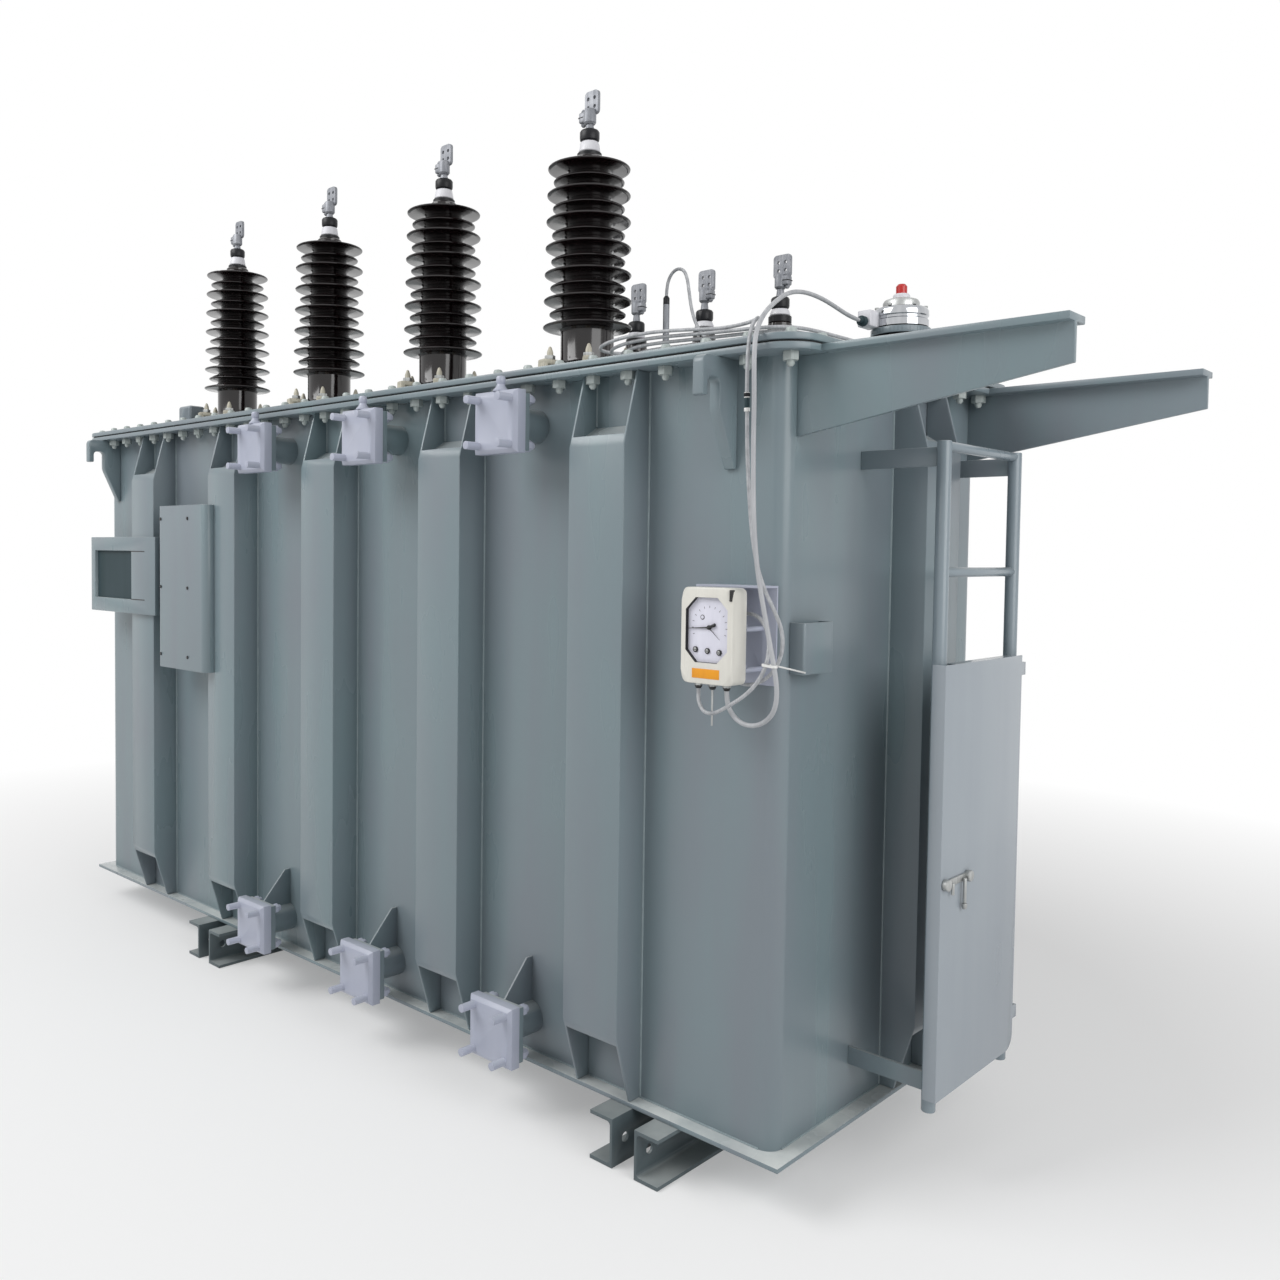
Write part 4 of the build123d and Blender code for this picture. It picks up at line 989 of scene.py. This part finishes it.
def makeRelief(plan):
    bm = bmesh.new()
    spot = at(*plan["centre"], 0)
    low, flange, ring = plan["flangeLow"], plan["flangeTop"], plan["ringTop"]
    wide, radius = plan["flangeRadius"], plan["ringRadius"]
    addTurned(bm, [
        (wide - 0.003, low), (wide, low + 0.003), (wide, flange - 0.003), (wide - 0.003, flange),
    ], spot, 48, 1)
    addTurned(bm, [
        (radius - 0.004, flange), (radius, flange + 0.004), (radius, flange + 0.022),
        (radius - 0.003, flange + 0.025), (radius - 0.003, flange + 0.031), (radius, flange + 0.034),
        (radius, ring - 0.010), (radius - 0.004, ring - 0.003), (radius - 0.010, ring),
    ], spot, 64)
    tier, top = plan["tierRadius"], plan["tierTop"]
    addTurned(bm, [
        (tier, ring), (tier, top - 0.010), (tier - 0.004, top - 0.003), (tier - 0.012, top),
    ], spot, 48, 3)
    pin, seat, tip = plan["pinRadius"], top + 0.015, plan["pinTop"]
    addTurned(bm, [(pin + 0.006, top), (pin + 0.006, top + 0.011), (pin + 0.003, seat)], spot, 32, 4)
    addTurned(bm, [(pin - 0.002, seat), (pin - 0.002, tip - 0.006), (pin - 0.007, tip)], spot, 32, 2)
    switchLow, gland = at(*plan["switchLow"]), at(*plan["glandTip"])
    addBlock(bm, switchLow, at(*plan["switchHigh"]), 0.004, 4, 3)
    start = Vector((gland.x, switchLow.y, gland.z))
    addRod(bm, start, gland + Vector((0, 0.012, 0)), 0.014, edge=0.0015, index=5)
    addRod(bm, gland + Vector((0, 0.014, 0)), gland, 0.0105, 0.0075, 24, 0.001, 5)
    for count in range(plan["bolts"]):
        angle = radians(plan["boltTurn"] + 360 * count / plan["bolts"])
        place = spot + Vector((cos(angle), sin(angle), 0)) * plan["boltCircle"]
        head = ring + plan["boltHeight"]
        addPost(bm, place, ring, head, plan["boltRadius"], sides=6, edge=0.0008, index=3)
    reliefFinishes = ["polishedSteel", "blackSeal", "redPaint", "zincPlate", "whiteSeal", "windowDark"]
    finishPiece("reliefValve", bm, reliefFinishes, ["relief_valve"])


makeRelief(reliefValve)

# Thermometer pocket: turned boss, stem and black sleeve
pocket = dict(
    centre=(1.146, -0.218), bossRadius=0.024, bossRise=0.023, bossTop=2.076, stemRadius=0.009,
    stemTip=0.005, stemTop=2.262, sleeveLow=2.238,
)


def makePocket(plan):
    bm = bmesh.new()
    spot = at(*plan["centre"], 0)
    boss, stem, seat = plan["bossRadius"], plan["stemRadius"], coverTop + plan["bossRise"]
    low, sleeve, top = plan["bossTop"], plan["sleeveLow"], plan["stemTop"]
    addTurned(bm, [(boss, coverTop), (boss, seat - 0.003), (boss - 0.003, seat)], spot, 32, 2)
    addPost(bm, spot, seat, low, boss * 0.92, sides=6, edge=0.0015)
    addTurned(bm, [(stem * 1.3, low), (stem, low + 0.012), (stem, sleeve)], spot, 24)
    addTurned(bm, [(stem, sleeve), (stem, top - 0.006), (plan["stemTip"], top)], spot, 24, 1)
    pocketFinishes = ["tinnedMetal", "blackSeal", "tankEnamel"]
    finishPiece("pocketStem", bm, pocketFinishes, ["thermometer_pocket"])


makePocket(pocket)
print("cover fittings made")

# Bare dark window of the nameplate frame with two slots beside it, and the tray's screws
framePlate = dict(
    left=-1.6235, right=-1.2885, low=1.332, high=1.530, front=-0.618, floor=-0.604, slot=0.116,
    slotHeight=0.004, columns=[0.08, 0.65], rows=[0.08, 0.5, 0.92], screwRadius=0.006,
)


def makeWallPlates(plan):
    bm = bmesh.new()
    left, right, front, floor = plan["left"], plan["right"], plan["front"], plan["floor"]
    addBlock(bm, at(left, floor - 0.001, plan["low"]), at(right, floor + 0.001, plan["high"]), 0)
    # the two slots are thin black strips on the front: painted shade in their openings
    for level in (plan["low"], plan["high"] - plan["slotHeight"]):
        end = at(right + plan["slot"], front + 0.002, level + plan["slotHeight"])
        addBlock(bm, at(right, front - 0.0004, level), end, 0, 1)
    finishPiece("frameWindow", bm, ["windowDark", "dialBlack"])
    bm = bmesh.new()
    low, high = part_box("front_tray")
    for along in plan["columns"]:
        for rise in plan["rows"]:
            spot = Vector((low.x + (high.x - low.x) * along, low.y, low.z + (high.z - low.z) * rise))
            start, tip = spot + Vector((0, 0.003, 0)), spot - Vector((0, 0.0035, 0))
            addRod(bm, start, tip, plan["screwRadius"], sides=18, edge=0.0012)
    finishPiece("trayScrews", bm, ["dialBlack"])


makeWallPlates(framePlate)

# Hasp on the guard door: a bar with two knobs, a short hook and a hanging pin
hasp = dict(
    face=1.979, y=-0.114, z=0.765, half=0.060, barHeight=0.009, barDepth=0.006, knobRadius=0.014,
    knobDepth=0.016, hook=0.028, pin=0.062, pinEnd=0.014, rodRadius=0.0045,
)


def makeHasp(plan):
    bm = bmesh.new()
    middle = at(plan["face"], plan["y"], plan["z"])
    half, tall, thin = plan["half"], plan["barHeight"], plan["rodRadius"]
    addBlockAt(bm, middle, (0, -half, -tall), (plan["barDepth"], half, tall), 0.002)
    for end, drop in ((-half, plan["hook"]), (half, plan["pin"])):
        knob = middle + Vector((0, end, 0))
        addRod(bm, knob, knob + Vector((plan["knobDepth"], 0, 0)), plan["knobRadius"], sides=28, edge=0.004)
        hung = middle + Vector((0.010, end * 0.55, 0))
        addPost(bm, hung, 0, -drop, thin, sides=14, edge=0.0015)
    addPost(bm, hung, -drop, -drop - plan["pinEnd"], thin * 1.6, tip=thin * 1.2, sides=16, edge=0.002)
    finishPiece("doorHasp", bm, ["zincPlate"], body="guard_door")


makeHasp(hasp)
print("door hasp made")

# Pale floor, soft light and a white surround
studio = dict(
    floorSize=60, floorTone=(238, 238, 238), floorRough=0.9, floorDrop=0.001, fade=(2.2, 5.2),
    nearGlow=0.3, world=0.40,
    lamps=[  # name, place, target, size and power
        ("keySoftbox", (-2.5, -5.0, 6.0), (0, 0, 1.0), (5, 4), 345),
        ("fillSoftbox", (6.0, -1.0, 3.5), (0, 0, 1.2), (4, 4), 155),
    ],
)


def addSeen(tree):
    path = tree.nodes.new("ShaderNodeLightPath")
    seen = addMath(tree, "MAXIMUM", path.outputs["Is Camera Ray"], path.outputs["Is Glossy Ray"])
    return addMath(tree, "MAXIMUM", seen, path.outputs["Is Transmission Ray"])


def blendShaders(tree, share, first, second, output):
    mix = tree.nodes.new("ShaderNodeMixShader")
    fill(tree, mix, {0: share, 1: first, 2: second})
    fill(tree, tree.nodes[output], {"Surface": mix.outputs["Shader"]})


def makeStudio(plan):
    bm = bmesh.new()
    bmesh.ops.create_grid(bm, x_segments=1, y_segments=1, size=plan["floorSize"])
    floor = addObject("studioFloor", keepShape("studioFloor", bm))
    floor.location.z = cadBox[0].z - plan["floorDrop"]
    material, tree, shader = newMaterial("floorPaper")
    fill(tree, shader, {"Base Color": tone(*plan["floorTone"]), "Roughness": plan["floorRough"]})
    glow = tree.nodes.new("ShaderNodeEmission")
    reach = tree.nodes.new("ShaderNodeVectorMath")
    reach.operation = "LENGTH"
    fill(tree, reach, {0: tree.nodes.new("ShaderNodeTexCoord").outputs["Object"]})
    # the paper lightens to white away from the object
    away = addRange(tree, reach.outputs["Value"], *plan["fade"], plan["nearGlow"], 1)
    share = addMath(tree, "MULTIPLY", away, addSeen(tree))
    blendShaders(tree, share, shader.outputs["BSDF"], glow.outputs["Emission"], "Material Output")
    floor.data.materials.append(material)
    world = bpy.data.worlds.new("studioWorld")
    world.use_nodes = True
    scene.world = world
    tree = world.node_tree
    light, seen = tree.nodes["Background"], tree.nodes.new("ShaderNodeBackground")
    for node, strength in ((light, plan["world"]), (seen, 1)):
        fill(tree, node, {"Color": (1, 1, 1, 1), "Strength": strength})
    lit, shown = light.outputs["Background"], seen.outputs["Background"]
    blendShaders(tree, addSeen(tree), lit, shown, "World Output")


def addLamp(name, place, target, size, power):
    data = bpy.data.lights.new(name, "AREA")
    data.shape = "RECTANGLE"
    data.size, data.size_y = size
    data.energy = power
    lamp = addObject(name, data)
    lamp.location = place
    lamp.rotation_euler = (Vector(target) - Vector(place)).to_track_quat("-Z", "Y").to_euler()


makeStudio(studio)
for lamp in studio["lamps"]:
    addLamp(*lamp)
print("studio lit")
